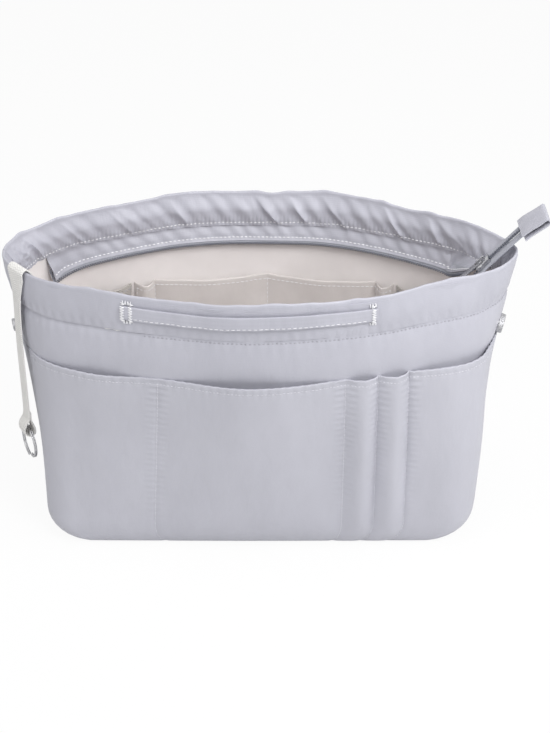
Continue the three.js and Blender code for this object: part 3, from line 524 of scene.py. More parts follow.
def cornersOf(piece):
    corners = np.empty(len(piece.data.loops), int)
    piece.data.loops.foreach_get("vertex_index", corners)
    return corners


def clothTo(piece, coords):
    piece.data.uv_layers[0].data.foreach_set("uv", coords.astype(np.float32).ravel())


def newPiece(name, points, edges, faces):
    mesh = bpy.data.meshes.new(name)
    mesh.from_pydata(points, edges, faces)
    mesh.update()
    piece = bpy.data.objects.new(name, mesh)
    bpy.context.collection.objects.link(piece)
    return piece


# a grid whose columns and rows are laid on a surface: place takes arrays and gives points
def laidGrid(columns, rows, place, scale=(quarterLength, 1)):
    bpy.ops.object.select_all(action="DESELECT")
    bpy.ops.mesh.primitive_grid_add(x_subdivisions=len(columns) - 1, y_subdivisions=len(rows) - 1, size=2)
    piece = bpy.context.object
    flat = pointsOf(piece)
    column, row = (np.interp((flat[:, k] + 1) / 2 * (len(line) - 1), np.arange(len(line)), line)
                   for k, line in enumerate((columns, rows)))
    movedTo(piece, place(column, row))
    corners = cornersOf(piece)
    clothTo(piece, np.stack([column[corners] * scale[0], row[corners] * scale[1]], 1))
    return piece


# a cloth of even thickness behind the laid face
def laidCloth(columns, rows, place, thickness, scale=(quarterLength, 1)):
    piece = laidGrid(columns, rows, place, scale)
    return withModifier(piece, "SOLIDIFY", thickness=thickness, offset=-1, use_even_offset=False)


# a closed tube: a section carried along a path, with its own side and up directions
def sweptTube(centres, sides, ups, section):
    count, around = len(centres), len(section)

    def place(column, row):
        i = np.clip(np.rint(column).astype(int), 0, count - 1)
        j = np.rint(row).astype(int) % around
        return centres[i] + sides[i] * section[j, :1] + ups[i] * section[j, 1:2]

    piece = laidGrid(np.arange(count), np.arange(around + 1), place, (1, 1))
    coords = np.empty(len(piece.data.loops) * 2)
    piece.data.uv_layers[0].data.foreach_get("uv", coords)
    coords = coords.reshape(-1, 2)
    clothTo(piece, np.stack([
        np.interp(coords[:, 1], np.arange(around + 1), travelled(np.vstack([section, section[:1]]))),
        np.interp(coords[:, 0], np.arange(count), travelled(centres))], 1))
    return meshSteps(piece, merged, endsFilled, facedOut)


def ovalSection(width, height, sides, power=2.0):
    turns = np.arange(sides) * 2 * np.pi / sides
    c, s = np.cos(turns), np.sin(turns)
    return np.stack([np.sign(c) * np.abs(c) ** (2 / power) * width / 2,
                     np.sign(s) * np.abs(s) ** (2 / power) * height / 2], 1)


# one thread stitch, modelled once and copied along every sewn line
def stitchShape():
    bpy.ops.object.select_all(action="DESELECT")
    bpy.ops.mesh.primitive_uv_sphere_add(segments=6, ring_count=5, radius=1)
    ball = bpy.context.object
    points = pointsOf(ball)
    faces = [tuple(p.vertices) for p in ball.data.polygons]
    bpy.data.objects.remove(ball, do_unlink=True)
    long = points[:, 2].copy()
    reach = np.abs(long) ** 0.6 * np.sign(long)
    girth = np.where(np.abs(long) < 0.99, 1.0, 0.0) * (1 - 0.45 * (np.abs(long) > 0.7))
    return np.hstack([reach[:, None], unit(points[:, :2]) * girth[:, None]]), faces


stitchPoints, stitchFaces = stitchShape()
stitches = {
    "plain": {"length": 0.0026, "gap": 0.0008, "thick": 0.00042},
    "pocket": {"length": 0.0018, "gap": 0.0006, "thick": 0.00052},
    "collar": {"length": 0.0019, "gap": 0.0009, "thick": 0.00072},
    "inside": {"length": 0.0021, "gap": 0.0009, "thick": 0.0008},
    "tack": {"length": 0.0032, "gap": 0.0, "thick": 0.0007},
}


# sews along a line of points: each stitch lies on the cloth, its ends sunk into it
def stitchRow(name, line, normals, kind, seed, lift=0.0001):
    length, gap, thick = stitches[kind].values()
    chance = random.Random(seed)
    travel = travelled(line)
    count = max(1, int(travel[-1] / (length + gap)))
    pitch = travel[-1] / count
    at = lambda place, values: np.array([np.interp(place, travel, values[:, k]) for k in range(3)])
    points, faces = [], []
    for i in range(count):
        middle = (i + 0.5) * pitch
        first, last = at(middle - length * 0.5, line), at(middle + length * 0.5, line)
        up = unit(at(middle, normals))
        run = unit(last - first)
        side = unit(np.cross(up, run))
        run = unit(run + side * chance.uniform(-0.06, 0.06))
        centre = (first + last) / 2 + up * (lift + chance.uniform(-0.00004, 0.00004))
        start = len(points) * len(stitchPoints)
        bow = 1 - stitchPoints[:, :1] ** 2
        points.append(centre + run * stitchPoints[:, :1] * length / 2 + side * stitchPoints[:, 1:2] * thick / 2
                      + up * (stitchPoints[:, 2:] * thick / 2 + (bow - 0.7) * thick * 0.5))
        faces += [tuple(v + start for v in face) for face in stitchFaces]
    piece = newPiece(name, np.vstack(points).tolist(), [], faces)
    piece.data.uv_layers.new(name="UVMap")
    return piece


# several rows as one piece of thread
def threadPiece(name, rows, paint="thread", kind="plain"):
    made = [stitchRow(f"{name}{i}", *row, kind, i + 5) for i, row in enumerate(rows)]
    alone(*made)
    if len(made) > 1:
        bpy.ops.object.join()
    piece = meshSteps(bpy.context.view_layer.objects.active, facedOut)
    return finished(piece, name, paint)


# a line on a surface and the surface's outward direction there
def onSurface(surface, u, v, flip=False):
    u, v = np.broadcast_arrays(np.asarray(u, float), np.asarray(v, float))
    step = 0.0006
    point = surface(u, v)
    across = surface(u + step / quarterLength, v) - surface(u - step / quarterLength, v)
    up = surface(u, v + step) - surface(u, v - step)
    normal = unit(np.cross(across, up))
    return point, (-normal if flip else normal)


def evenly(low, high, step):
    return np.linspace(low, high, max(2, int(round(abs(high - low) / step)) + 1))


def smoothNoise(u, v, seed, scale, octaves=3):
    # sums of slanted waves, the same on every run
    chance = random.Random(seed)
    total = 0
    for octave in range(octaves):
        for _ in range(4):
            angle = chance.uniform(0, math.pi)
            turns = 2 * math.pi / scale * 1.9 ** octave * chance.uniform(0.7, 1.3)
            total = total + np.sin(turns * (u * math.cos(angle) + v * math.sin(angle)) + chance.uniform(0, 6.3)) \
                / 1.8 ** octave
    return total / 5


# outside: panels, pockets and bottom

panels = {
    "hem": 0.143, "collar": 0.025, "puff": 0.0012, "folds": 0.0007, "foldSize": 0.055, "looseFrom": -0.36,
    "groove": (0.0007, -0.001, 0.0022), "looseGroove": (0.0006, -0.001, 0.0022),
    "pucker": (0.00028, -0.004, 0.0045), "puckerPitch": 0.00748, "sideSeam": (0.0009, 0, 0.0028),
}
hemRise = riseAt(panels["hem"])
collarRise = topRise - panels["collar"]
sides = {"front": front, "back": back}
# of each pocket: how far it swells in mm, how broad and how far to one side it is fullest, how its hem is drawn
# in, and how soon it swells above the bottom seam
pockets = {
    "front": {"dividers": [-0.357, 0.279, 0.386, 0.489], "fullness": [4, 9, 8, 8, 11],
              "spread": [3, 1.4, 1.1, 1.1, 1.7], "lean": [1.9, 1, 1.15, 1.15, 0.62],
              "tight": [0, 0.4, 0.45, 0.45, 0.62], "rising": [1.6, 0.7, 0.4, 0.4, 0.8], "drift": 0.04,
              "nodes": ["front_pocket_panel", "left_pocket_panel"]},
    "back": {"dividers": [-0.33, 0.33], "fullness": [10, 11, 10], "spread": [2, 1.6, 2], "lean": [1, 1, 1],
             "tight": [0, 0, 0], "rising": [0.85, 0.85, 0.85], "drift": 0, "nodes": ["back_pocket_panel"]},
}
hem = {
    "radius": 0.0008, "end": 0.0105, "sewn": 0.0036, "line": (0.00025, -0.0036, 0.0009),
    "pucker": (0.0003, -0.002, 0.005), "puckerPitch": 0.0062, "stitched": (0.0006, 0, 0.0015),
    "tug": (0.00042, 0.0032, 0.0034), "tugPitch": 0.0047, "drawnFrom": 0.45, "footShare": 0.28, "driftWidth": 0.34,
}
seamShare = seam["gap"] / quarterLength
edgeStation = 1 - seamShare * 0.1


def sideSeam(s):
    # how far the cloth is drawn in beside the two side seams
    return ridge((np.abs(s) - 1) * quarterLength, panels["sideSeam"])


def rolledHem(row, top, radius):
    # past its top the cloth turns inwards and runs down again
    over = np.clip(row - top, 0, None)
    arc = np.minimum(over / radius, np.pi)
    rise = np.minimum(row, top) + radius * np.sin(arc) - np.clip(over - radius * np.pi, 0, None)
    return rise, radius * (1 - np.cos(arc))


def betweenSeams(s, edges):
    # which pocket, and how far across it
    pocket = np.clip(np.searchsorted(edges, s, side="right") - 1, 0, len(edges) - 2)
    return pocket, clamp((s - edges[pocket]) / (edges[pocket + 1] - edges[pocket]))


def panelSurface(middle, name):
    def surface(s, rise):
        along = s * quarterLength
        high = clamp((rise - hemRise) / (collarRise - hemRise))
        folds = panels["folds"] * smoothNoise(along, rise * 0.35, 11, panels["foldSize"]) * high
        puff = panels["puff"] * np.sin(np.pi * high) + folds
        loose = (s < panels["looseFrom"]) * (name == "front")
        above = rise - collarRise
        groove = ridge(above, panels["groove"]) + ridge(above, panels["looseGroove"]) * loose
        pucker = ridge(above, panels["pucker"]) * ripple(along, panels["puckerPitch"])
        return wallPoint(middle + s, rise, depths["panel"] - puff + groove - pucker + sideSeam(s) * 0.5)
    return surface


def pocketSurface(middle, name):
    data = pockets[name]
    edges = np.array([-edgeStation, *data["dividers"], edgeStation])

    def surface(s, row):
        pocket, across = betweenSeams(s, edges)
        full, spread, lean, tight, rising = (
            np.array(data[key])[pocket] for key in ("fullness", "spread", "lean", "tight", "rising"))
        rise, inwards = rolledHem(row, hemRise, hem["radius"])
        share = clamp(rise / hemRise)
        # fullest half way up, drawn in again at the hem and at the bottom seam
        high = clamp((share - hem["drawnFrom"]) / (1 - hem["drawnFrom"]))
        drawn = (1 - tight * high ** 1.5) * eased(share / hem["footShare"])
        bulge = full * mm * np.sin(np.pi * across ** lean) ** spread * share ** rising * drawn
        along = s * quarterLength
        folds = panels["folds"] * smoothNoise(along, rise * 0.3, 23, 0.06) * share * np.sin(np.pi * across) ** 0.5
        beside = np.min([np.abs(s - edge) for edge in edges[1:-1]], axis=0) * quarterLength
        tug = ridge(beside, hem["tug"]) * ripple(rise, hem["tugPitch"], 2 * np.sin(rise / 0.017)) * share
        gathers = ripple(along, hem["puckerPitch"], 2 * np.sin(along / 0.021))
        hemPucker = ridge(rise - hemRise, hem["pucker"]) * gathers
        depth = depths["pocket"] - bulge - folds + ridge(beside, hem["stitched"]) - tug
        depth = depth + ridge(rise - hemRise, hem["line"]) - hemPucker + inwards + sideSeam(s)
        drift = data["drift"] * share * bell(s - edges[1], hem["driftWidth"])
        return wallPoint(middle + s + drift, rise, depth)
    return surface


footRows = evenly(0, roundingRise, 0.004)
panelStations = evenly(-edgeStation, edgeStation, 0.009)
panelRows = joined(footRows, evenly(roundingRise, hemRise - 0.02, 0.012),
                   evenly(hemRise - 0.02, topRise - 0.0015, 0.0022))
pocketRows = joined(footRows, evenly(roundingRise, hemRise - 0.012, 0.0013), evenly(hemRise - 0.012, hemRise, 0.001),
                    hemRise + evenly(0, 0.00252, 0.00042), hemRise + evenly(0.00252, hem["end"], 0.004))
for name, middle in sides.items():
    surface = panelSurface(middle, name)
    panel = laidCloth(panelStations, panelRows, surface, seam["satin"])
    finished(panel, f"{name}PanelCloth", "satin", replaced=[f"{name}_panel"])

    foam = laidCloth(evenly(-0.626, 0.626, 0.03), evenly(roundingRise, topRise - 0.013, 0.01),
                     lambda s, r, m=middle: wallPoint(m + s, r, depths["foam"] + 0.0005), 0.001)
    finished(foam, f"{name}FoamSheet", "foam", replaced=[f"{name}_stiffener"])

    pocket, dividers = pocketSurface(middle, name), pockets[name]["dividers"]
    columns = joined(*[evenly(a, b, 0.0075) for a, b in zip([-edgeStation, *dividers], [*dividers, edgeStation])])
    piece = laidCloth(columns, pocketRows, pocket, 0.00045)
    finished(piece, f"{name}PocketCloth", "pocket", replaced=pockets[name]["nodes"])

    hemLine = onSurface(pocket, evenly(-0.985, 0.985, 0.006), hemRise - hem["sewn"])
    upTheSeam = np.linspace(0.006, hemRise - 0.004, 60)
    dividerLines = [onSurface(pocket, np.full(60, share), upTheSeam) for share in dividers]
    threadPiece(f"{name}PocketThread", [hemLine, *dividerLines], "pocketThread", "pocket")

    first = panels["looseFrom"] if name == "front" else -0.985
    collarLine = onSurface(surface, evenly(first, 0.985, 0.006), collarRise - 0.0022)
    threadPiece(f"{name}CollarThread", [collarLine], "shadeThread", "collar")
print("outside cloth laid")

bottom = {
    "layers": [("bottomCloth", "bottom_panel", "satin", 0.0, 0.0006),
               ("baseBoard", "base_board", "board", 0.002, 0.0015),
               ("bottomLining", "bottom_lining", "lining", 0.0039, 0.0006)],
    "inset": 0.0004, "rings": np.array([0.0, 0.25, 0.5, 0.75, 0.95, 1.0]),
}


def bottomPiece(name, node, paint, low, thickness):
    around = np.linspace(0, 4, 161)[:-1]
    edge = wallPoint(around, 0.0, 0.0) - outwardAt(around, roundingRise) * bottom["inset"]

    def place(column, row):
        point = edge[np.rint(column).astype(int) % len(edge)] * row[:, None]
        point[:, 2] = low + thickness
        return point

    piece = laidGrid(np.arange(len(edge) + 1), bottom["rings"], place, (1, 1))
    clothTo(piece, pointsOf(piece)[cornersOf(piece)][:, :2])
    meshSteps(piece, merged, facedOut)
    if sum(p.normal.z for p in piece.data.polygons) < 0:
        piece.data.flip_normals()
    withModifier(piece, "SOLIDIFY", thickness=thickness, offset=-1)
    return finished(piece, name, paint, replaced=[node])


for layer in bottom["layers"]:
    bottomPiece(*layer)

# inside: linings, facings and strips

creases = {
    # each runs from (station, drop) at the rim to (station, drop) at the hem, then its height in metres
    "back": [
        (0.006, 0.0034, -0.072, 0.0210, 0.0022), (-0.107, 0.0017, -0.175, 0.0202, 0.0024),
        (-0.234, 0.0034, -0.320, 0.0222, 0.0022), (-0.445, 0.0, -0.526, 0.0215, 0.0023),
        (-0.610, 0.0, -0.668, 0.0197, 0.0015), (-0.629, 0.0004, -0.806, 0.0220, 0.0009),
        (0.327, 0.0017, 0.261, 0.0197, 0.0014), (0.546, 0.0, 0.460, 0.0210, 0.0012),
        (0.730, 0.0, 0.634, 0.0222, 0.0015), (0.887, 0.0, 0.821, 0.0218, 0.0030),
    ],
    "front": [
        (0.310, 0.001, 0.250, 0.0205, 0.0014), (-0.190, 0.001, -0.250, 0.0205, 0.0013),
        (0.640, 0.0, 0.580, 0.0210, 0.0016), (-0.540, 0.0, -0.610, 0.0210, 0.0016),
        (0.050, 0.002, -0.020, 0.0205, 0.0012),
    ],
}
# how far before its start a crease begins and over what share it grows, and where it ends and fades
creaseForm = {
    "before": 0.15, "grows": 0.7, "ends": 1.06, "fades": 0.14, "sharp": 0.0013, "softer": 0.0012,
    "hollow": (0.55, -0.0036, 0.0034),
}
facings = {
    "collar": 0.025, "drop": 0.023, "rollHeight": 0.0024, "rollRun": 0.0064, "rimDepth": 0.0034, "deepBy": 0.011,
    "puff": 0.0010, "outPuff": 0.0009, "thickness": 0.0005, "rimBump": 0.0012, "start": 0.001,
    "tucks": (0.00028, 0.003, 0.003), "tuckPitch": 0.0072, "ticks": (0.00034, -0.0036, 0.0036), "tickPitch": 0.0030,
    "hemLine": (0.0003, -0.0022, 0.0009), "broadPitch": 0.0172, "narrowPitch": 0.0113, "kinks": 0.0016,
    "bumpWidth": 0.0055, "fullCrease": 0.0022, "crumpledFrom": {"front": 2.0, "back": 0.84},
}
outerRun = facings["collar"] - facings["start"]
rollRun = facings["rollRun"]
innerRun = facings["drop"] - facings["start"]


def creaseLift(along, drop, name):
    # a sharp ridge with a shaded hollow on its left, strongest in its lower half
    total = 0
    for startS, startDrop, endS, endDrop, height in creases[name]:
        ax, ay = startS * quarterLength, startDrop
        bx, by = endS * quarterLength, endDrop
        long = math.hypot(bx - ax, by - ay)
        ux, uy = (bx - ax) / long, (by - ay) / long
        t = ((along - ax) * ux + (drop - ay) * uy) / long
        across = -(along - ax) * uy + (drop - ay) * ux
        fade = clamp((t + creaseForm["before"]) / creaseForm["grows"])
        fade = fade * clamp((creaseForm["ends"] - t) / creaseForm["fades"])
        width = creaseForm["sharp"] + creaseForm["softer"] * clamp(1 - t)
        peak = np.exp(-np.abs(across) / width) - ridge(across, creaseForm["hollow"])
        total = total + height * fade * peak
    return total


def facingSurface(middle, name):
    inner, outer = facings["rimDepth"], depths["panel"] + 0.0001
    centreDepth, half = (inner + outer) / 2, (inner - outer) / 2
    full = depths["facing"] + seam["satin"]
    crumpled = facings["crumpledFrom"][name]

    def surface(s, row):
        along = s * quarterLength
        outside = np.clip(row, 0, outerRun)
        roll = clamp((row - outerRun) / rollRun)
        inside = np.clip(row - outerRun - rollRun, 0, None)
        within = inside > 0
        arc = roll * np.pi
        drop = inside + facings["start"]
        noise = smoothNoise(along, row * 0.8, 41 if name == "front" else 47, 0.04)
        outPuff = facings["outPuff"] * np.sin(np.pi * outside / outerRun) * (1 - roll) * (1 + 0.8 * noise)
        tucks = ridge(outside, facings["tucks"]) * ripple(along, facings["tuckPitch"])
        outPuff = outPuff + np.where(row < outerRun, tucks, 0)
        # inside: the face swells over the layers beneath, in slanted puckers
        deep = eased(inside / facings["deepBy"])
        slanted = along + 0.8 * drop
        broad = ripple(slanted, facings["broadPitch"], 1.1)
        broad = broad + 0.7 * ripple(slanted, facings["narrowPitch"], 0.4 + 2 * noise)
        swollen = np.sin(np.pi * clamp(inside / innerRun)) ** 0.7
        inPuff = facings["puff"] * swollen * (0.7 + 0.45 * broad + 0.5 * noise)
        tickWave = ripple(along, facings["tickPitch"], 1.6 * np.sin(along / 0.023))
        inPuff = inPuff + ridge(inside - innerRun, facings["ticks"]) * tickWave
        inPuff = inPuff + creaseLift(along, drop, name) * clamp(inside / 0.003)
        kinks = facings["kinks"] * np.abs(smoothNoise(along, drop * 1.3, 53, 0.012))
        inPuff = inPuff + clamp((s - crumpled) / 0.06) * kinks * clamp(inside / 0.004)
        inPuff = np.where(within, inPuff - ridge(inside - innerRun, facings["hemLine"]), 0)
        bumps = sum(bell(along - crease[0] * quarterLength, facings["bumpWidth"]) * crease[-1] / facings["fullCrease"]
                    for crease in creases[name])
        crown = np.sin(arc) * (0.0006 * noise + facings["rimBump"] * np.clip(bumps, 0, 1.3) - 0.0003)
        rise = collarRise + outside + facings["rollHeight"] * np.sin(arc) - inside + crown
        depth = centreDepth - half * np.cos(arc) + np.where(within, (full - inner) * deep, 0)
        return wallPoint(middle + s, rise, depth - outPuff + inPuff)
    return surface


strip = {
    "top": 0.017, "bend": 0.024, "bottom": 0.0331, "lean": 0.0042 / 0.0085, "coilDrop": 0.036, "endSag": 0.015,
    "sagPower": 3, "fold": 0.0009, "foldPitch": 0.0125, "endGap": 0.0032, "hemLine": (0.0004, -0.0022, 0.0012),
    "endRun": 0.016, "endFrom": 0.0215, "endBy": 0.006,
}
zipEnds = {"left": -0.8, "right": 0.72}


def stripDepthAt(drop):
    return depths["strip"] + np.maximum(0, drop - strip["bend"]) * strip["lean"]


def zipRise(station, drop):
    # the zip's line sags towards the two ends of the bag
    ends = np.abs(station - back * np.round(station / back))
    sag = strip["endSag"] * ends ** strip["sagPower"] * (drop - strip["top"]) / (strip["coilDrop"] - strip["top"])
    return topRise - drop - sag


def stripSurface(middle, name):
    sign = -1 if name == "front" else 1
    free = -sign * zipEnds["left"]

    def surface(s, drop):
        along = s * quarterLength
        share = clamp((drop - strip["top"]) / (strip["bottom"] - strip["top"]))
        slanting = ripple(along + drop * 0.8, strip["foldPitch"], 2.2 * smoothNoise(along, drop, 61, 0.05))
        wave = strip["fold"] * (0.5 + 0.5 * slanting) * np.sin(np.pi * clamp(share * 1.15 - 0.1))
        hemLine = ridge(drop - strip["bottom"], strip["hemLine"])
        standing = strip["endGap"] * clamp(1 - np.abs(s - free) * quarterLength / strip["endRun"]) ** 2 \
            * clamp((drop - strip["endFrom"]) / strip["endBy"])
        face = stripDepthAt(drop) + seam["satin"]
        return wallPoint(middle + s, zipRise(middle + s, drop), face + wave - hemLine + standing)
    return surface


liningRows = joined(footRows, evenly(roundingRise, topRise - 0.012, 0.008))[::-1]
facingRows = joined(evenly(0, outerRun, 0.0016), outerRun + evenly(0, rollRun, 0.0007),
                    outerRun + rollRun + evenly(0, innerRun, 0.0009))
facingSurfaces = {}
for name, middle in sides.items():
    lining = laidCloth(evenly(-edgeStation, edgeStation, 0.02), liningRows, lambda s, r, m=middle: wallPoint(
        m + s, r, depths["lining"] + seam["lining"] + 0.0003 * smoothNoise(s * quarterLength, r, 71, 0.07)),
        seam["lining"])
    finished(lining, f"{name}LiningCloth", "lining", replaced=[f"{name}_lining"])

    surface = facingSurfaces[name] = facingSurface(middle, name)
    facing = laidCloth(evenly(-edgeStation, edgeStation, 0.0036), facingRows, surface, facings["thickness"])
    finished(facing, f"{name}FacingCloth", "facing", replaced=[f"facing_{name}"])

    sign = -1 if name == "front" else 1
    ends = sorted([-sign * zipEnds["left"], -sign * zipEnds["right"]])
    stripFace = stripSurface(middle, name)
    # the strip takes the darker strip satin, which carries painted shade
    cloth = laidCloth(evenly(*ends, 0.0055), evenly(strip["top"], strip["bottom"], 0.0010), stripFace, 0.0005)
    finished(cloth, f"{name}StripCloth", "strip", replaced=[f"zip_strip_{name}"])

    inner = onSurface(surface, evenly(-0.975, 0.975, 0.006), outerRun + rollRun + innerRun - 0.0022)
    lower = onSurface(stripFace, evenly(ends[0] + 0.006, ends[1] - 0.006, 0.006), strip["bottom"] - 0.0020)
    threadPiece(f"{name}FacingThread", [inner], kind="inside")
    threadPiece(f"{name}StripThread", [lower], kind="inside")
print("inside cloth laid")

# the zip: two tapes, two wound coils, the slider and its pull, and the folded tab at the tail's end

zipper = {
    "slider": (0.151, 0, 0.1876), "angle": math.radians(48), "tapeTop": 0.0285, "coilDrop": 0.036, "tapeHalf": 0.0074,
    "throatLength": 0.006, "throatSpread": 0.002, "tailLength": 0.037, "bendFrom": 0.0305, "bendBy": 0.0045,
    "tapeInset": 0.0009, "tapeThick": 0.0006, "pitch": 0.0018, "wire": 0.00074, "reach": 0.00045, "back": 0.002,
    "height": 0.0012, "turnSteps": 8,
}
tailAlong = np.array([math.cos(zipper["angle"]), 0, math.sin(zipper["angle"])])
tailUp = np.array([-math.sin(zipper["angle"]), 0, math.cos(zipper["angle"])])
sliderCentre = np.array(zipper["slider"])


def tailPoint(along, across, above):
    bent = eased((along - zipper["bendFrom"]) / zipper["tailLength"]) * zipper["bendBy"]
    return sliderCentre + tailAlong * along + tailUp * (above - bent) + np.array([0, across, 0])


def throughPoints(points, samples):
    # the same centripetal curve as the solids follow
    points = np.array(points)
    last = len(points) - 1
    t = np.linspace(0, 1, samples) * last
    index = np.minimum(t.astype(int), last - 1)
    weight = t - index
    before = np.vstack([2 * points[0] - points[1], points, 2 * points[-1] - points[-2]])
    p = [before[index + k] for k in range(4)]
    d = [np.maximum(np.linalg.norm(p[k + 1] - p[k], axis=1) ** 0.5, 1e-6)[:, None] for k in range(3)]
    t1 = ((p[1] - p[0]) / d[0] - (p[2] - p[0]) / (d[0] + d[1]) + (p[2] - p[1]) / d[1]) * d[1]
    t2 = ((p[2] - p[1]) / d[1] - (p[3] - p[1]) / (d[1] + d[2]) + (p[3] - p[2]) / d[2]) * d[1]
    w = weight[:, None]
    return p[1] + w * t1 + w ** 2 * (-3 * p[1] + 3 * p[2] - 2 * t1 - t2) + w ** 3 * (2 * p[1] - 2 * p[2] + t1 + t2)


# the stations at which the solids' curve passes too
cornerStart, cornerEnd = 0.128 / quarterLength, 1 - 0.045 / quarterLength
quarterStops = np.unique(np.round(np.concatenate([
    np.linspace(0, cornerStart, 7), np.linspace(cornerStart, cornerEnd, 4), np.linspace(cornerEnd, 1, 4)]), 9))
sharedStops = np.unique(np.concatenate([-quarterStops, quarterStops]))


def zipOnWall(station, drop):
    depth = stripDepthAt(drop) - seam["gap"] - zipper["tapeThick"] / 2
    return wallPoint(station, zipRise(station, drop), depth)


def zipEdge(middle, sign, drop, across, acrossThroat, samples=900):
    inside = [s for s in sharedStops if zipEnds["left"] < s < zipEnds["right"]]
    onWall = zipOnWall(middle - sign * np.array([zipEnds["left"], *inside, zipEnds["right"]]), drop)
    throat = zipper["throatLength"]
    bend = tailPoint(-throat * 2, sign * (acrossThroat + throat / 2), 0)
    mouthEnd = tailPoint(-throat, sign * acrossThroat, 0)
    curve = throughPoints([*onWall, bend, mouthEnd], samples)
    tail = np.array([tailPoint(t, sign * across, 0) for t in np.linspace(0, zipper["tailLength"], 90)])
    return np.vstack([curve, np.linspace(mouthEnd, tail[0], 20)[1:], tail[1:]])


def zipRows(middle, sign):
    coil = zipEdge(middle, sign, zipper["coilDrop"], 0, zipper["throatSpread"])
    outer = zipEdge(middle, sign, zipper["tapeTop"], zipper["tapeHalf"], zipper["tapeHalf"] + zipper["throatSpread"])
    out = unit(outer - coil)
    run = unit(np.gradient(coil, axis=0))
    return coil, outer, out, run, unit(np.cross(out, run)) * -sign


def nearest(points, target):
    return int(np.argmin(np.linalg.norm(points - target, axis=1)))


bridge = {
    "steps": 40, "drop": 0.0185, "run": 0.23, "waves": 0.0007, "pitch": 0.0105, "hang": 0.0012, "overlap": 22,
    "ahead": 1.7, "aside": 0.004, "out": 0.0033, "over": 0.0017, "back": 0.03, "lift": 0.0003, "sewn": 0.88,
}
for name, middle in sides.items():
    sign = -1 if name == "front" else 1
    coil, outer, out, run, normal = zipRows(middle, sign)
    picked = np.unique([*range(0, len(coil), 5), len(coil) - 1])

    def tapePlace(column, row):
        i = picked[np.clip(np.rint(column).astype(int), 0, len(picked) - 1)]
        inner = coil[i] + out[i] * zipper["tapeInset"]
        return inner + (outer[i] - inner) * row[:, None] + normal[i] * zipper["tapeThick"] / 2

    order = np.arange(len(picked))[::sign]
    tape = laidCloth(order, np.linspace(0, 1, 9), tapePlace, zipper["tapeThick"], (0.0018, 0.011))
    finished(tape, f"{name}ZipTape", "tape", replaced=[f"zip_tape_{name}"])

    # the strip's last stretch, from the wall to the tape beside the slider
    steps = bridge["steps"]
    wallEnd = zipOnWall(np.array(middle - sign * zipEnds["right"]), zipper["coilDrop"])
    first = nearest(coil, wallEnd) - bridge["overlap"]
    last = nearest(coil, tailPoint(-zipper["throatLength"] * bridge["ahead"], sign * bridge["aside"], 0))
    stretch = np.linspace(first, last, steps).astype(int)
    upright = normal[stretch]
    below = coil[stretch] + out[stretch] * bridge["out"] + upright * bridge["over"]
    stations = middle - sign * (zipEnds["right"] - bridge["back"] + np.linspace(0, 1, steps) * bridge["run"])
    above = wallPoint(stations, zipRise(stations, bridge["drop"]), depths["strip"] + seam["satin"] + bridge["lift"])

    def bridgePlace(column, row):
        i = np.clip(np.rint(column).astype(int), 0, steps - 1)
        share = row[:, None]
        swing = np.sin(np.pi * row)
        waves = bridge["waves"] * ripple(column * 0.0011 + row * 0.012, bridge["pitch"]) * swing
        return above[i] * (1 - share) + below[i] * share + upright[i] * (waves - bridge["hang"] * swing)[:, None]

    # painted with the darker strip satin, which carries painted shade
    piece = laidCloth(np.arange(steps)[::sign], np.linspace(1, 0, 14), bridgePlace, 0.0005, (0.0011, 0.014))
    finished(piece, f"{name}StripEnd", "strip")
    inner = slice(2, -2)
    sewnEdge = above[inner] * (1 - bridge["sewn"]) + below[inner] * bridge["sewn"] + upright[inner] * 0.0001
    threadPiece(f"{name}StripEndThread", [(sewnEdge, upright[inner])], kind="inside")

    travel = travelled(coil)
    count = int(travel[-1] / zipper["pitch"] * zipper["turnSteps"])
    turned = np.arange(count) / zipper["turnSteps"]
    at = travel[-1] - np.arange(count) * zipper["pitch"] / zipper["turnSteps"]
    phase = (turned + (0.5 if sign > 0 else 0)) * 2 * np.pi
    centre, away, up, forward = (np.stack([np.interp(at, travel, values[:, k]) for k in range(3)], 1)
                                 for values in (coil, out, normal, run))
    middleAcross = (zipper["back"] - zipper["reach"]) / 2
    halfAcross = (zipper["back"] + zipper["reach"]) / 2 - zipper["wire"] / 2
    low = zipper["tapeThick"] / 2 + seam["gap"]
    spiral = centre + unit(away) * (middleAcross + halfAcross * np.cos(phase))[:, None] \
        + unit(up) * (low + zipper["height"] / 2 + (zipper["height"] - zipper["wire"]) / 2 * np.sin(phase))[:, None]
    direction = unit(np.gradient(spiral, axis=0))
    sideways = unit(np.cross(direction, unit(forward)))
    upwards = unit(np.cross(sideways, direction))
    wire = sweptTube(spiral, sideways, upwards, ovalSection(zipper["wire"], zipper["wire"], 5))
    finished(wire, f"{name}ZipCoil", "coil", replaced=[f"zip_coil_{name}"], angle=80)
print("zip made")

tab = {
    "start": 0.0334, "length": 0.0206, "width": 0.0275, "wall": 0.0007, "belly": 0.0005, "upperShare": 0.88,
    "tip": 0.0014, "wobble": 0.0004,
}


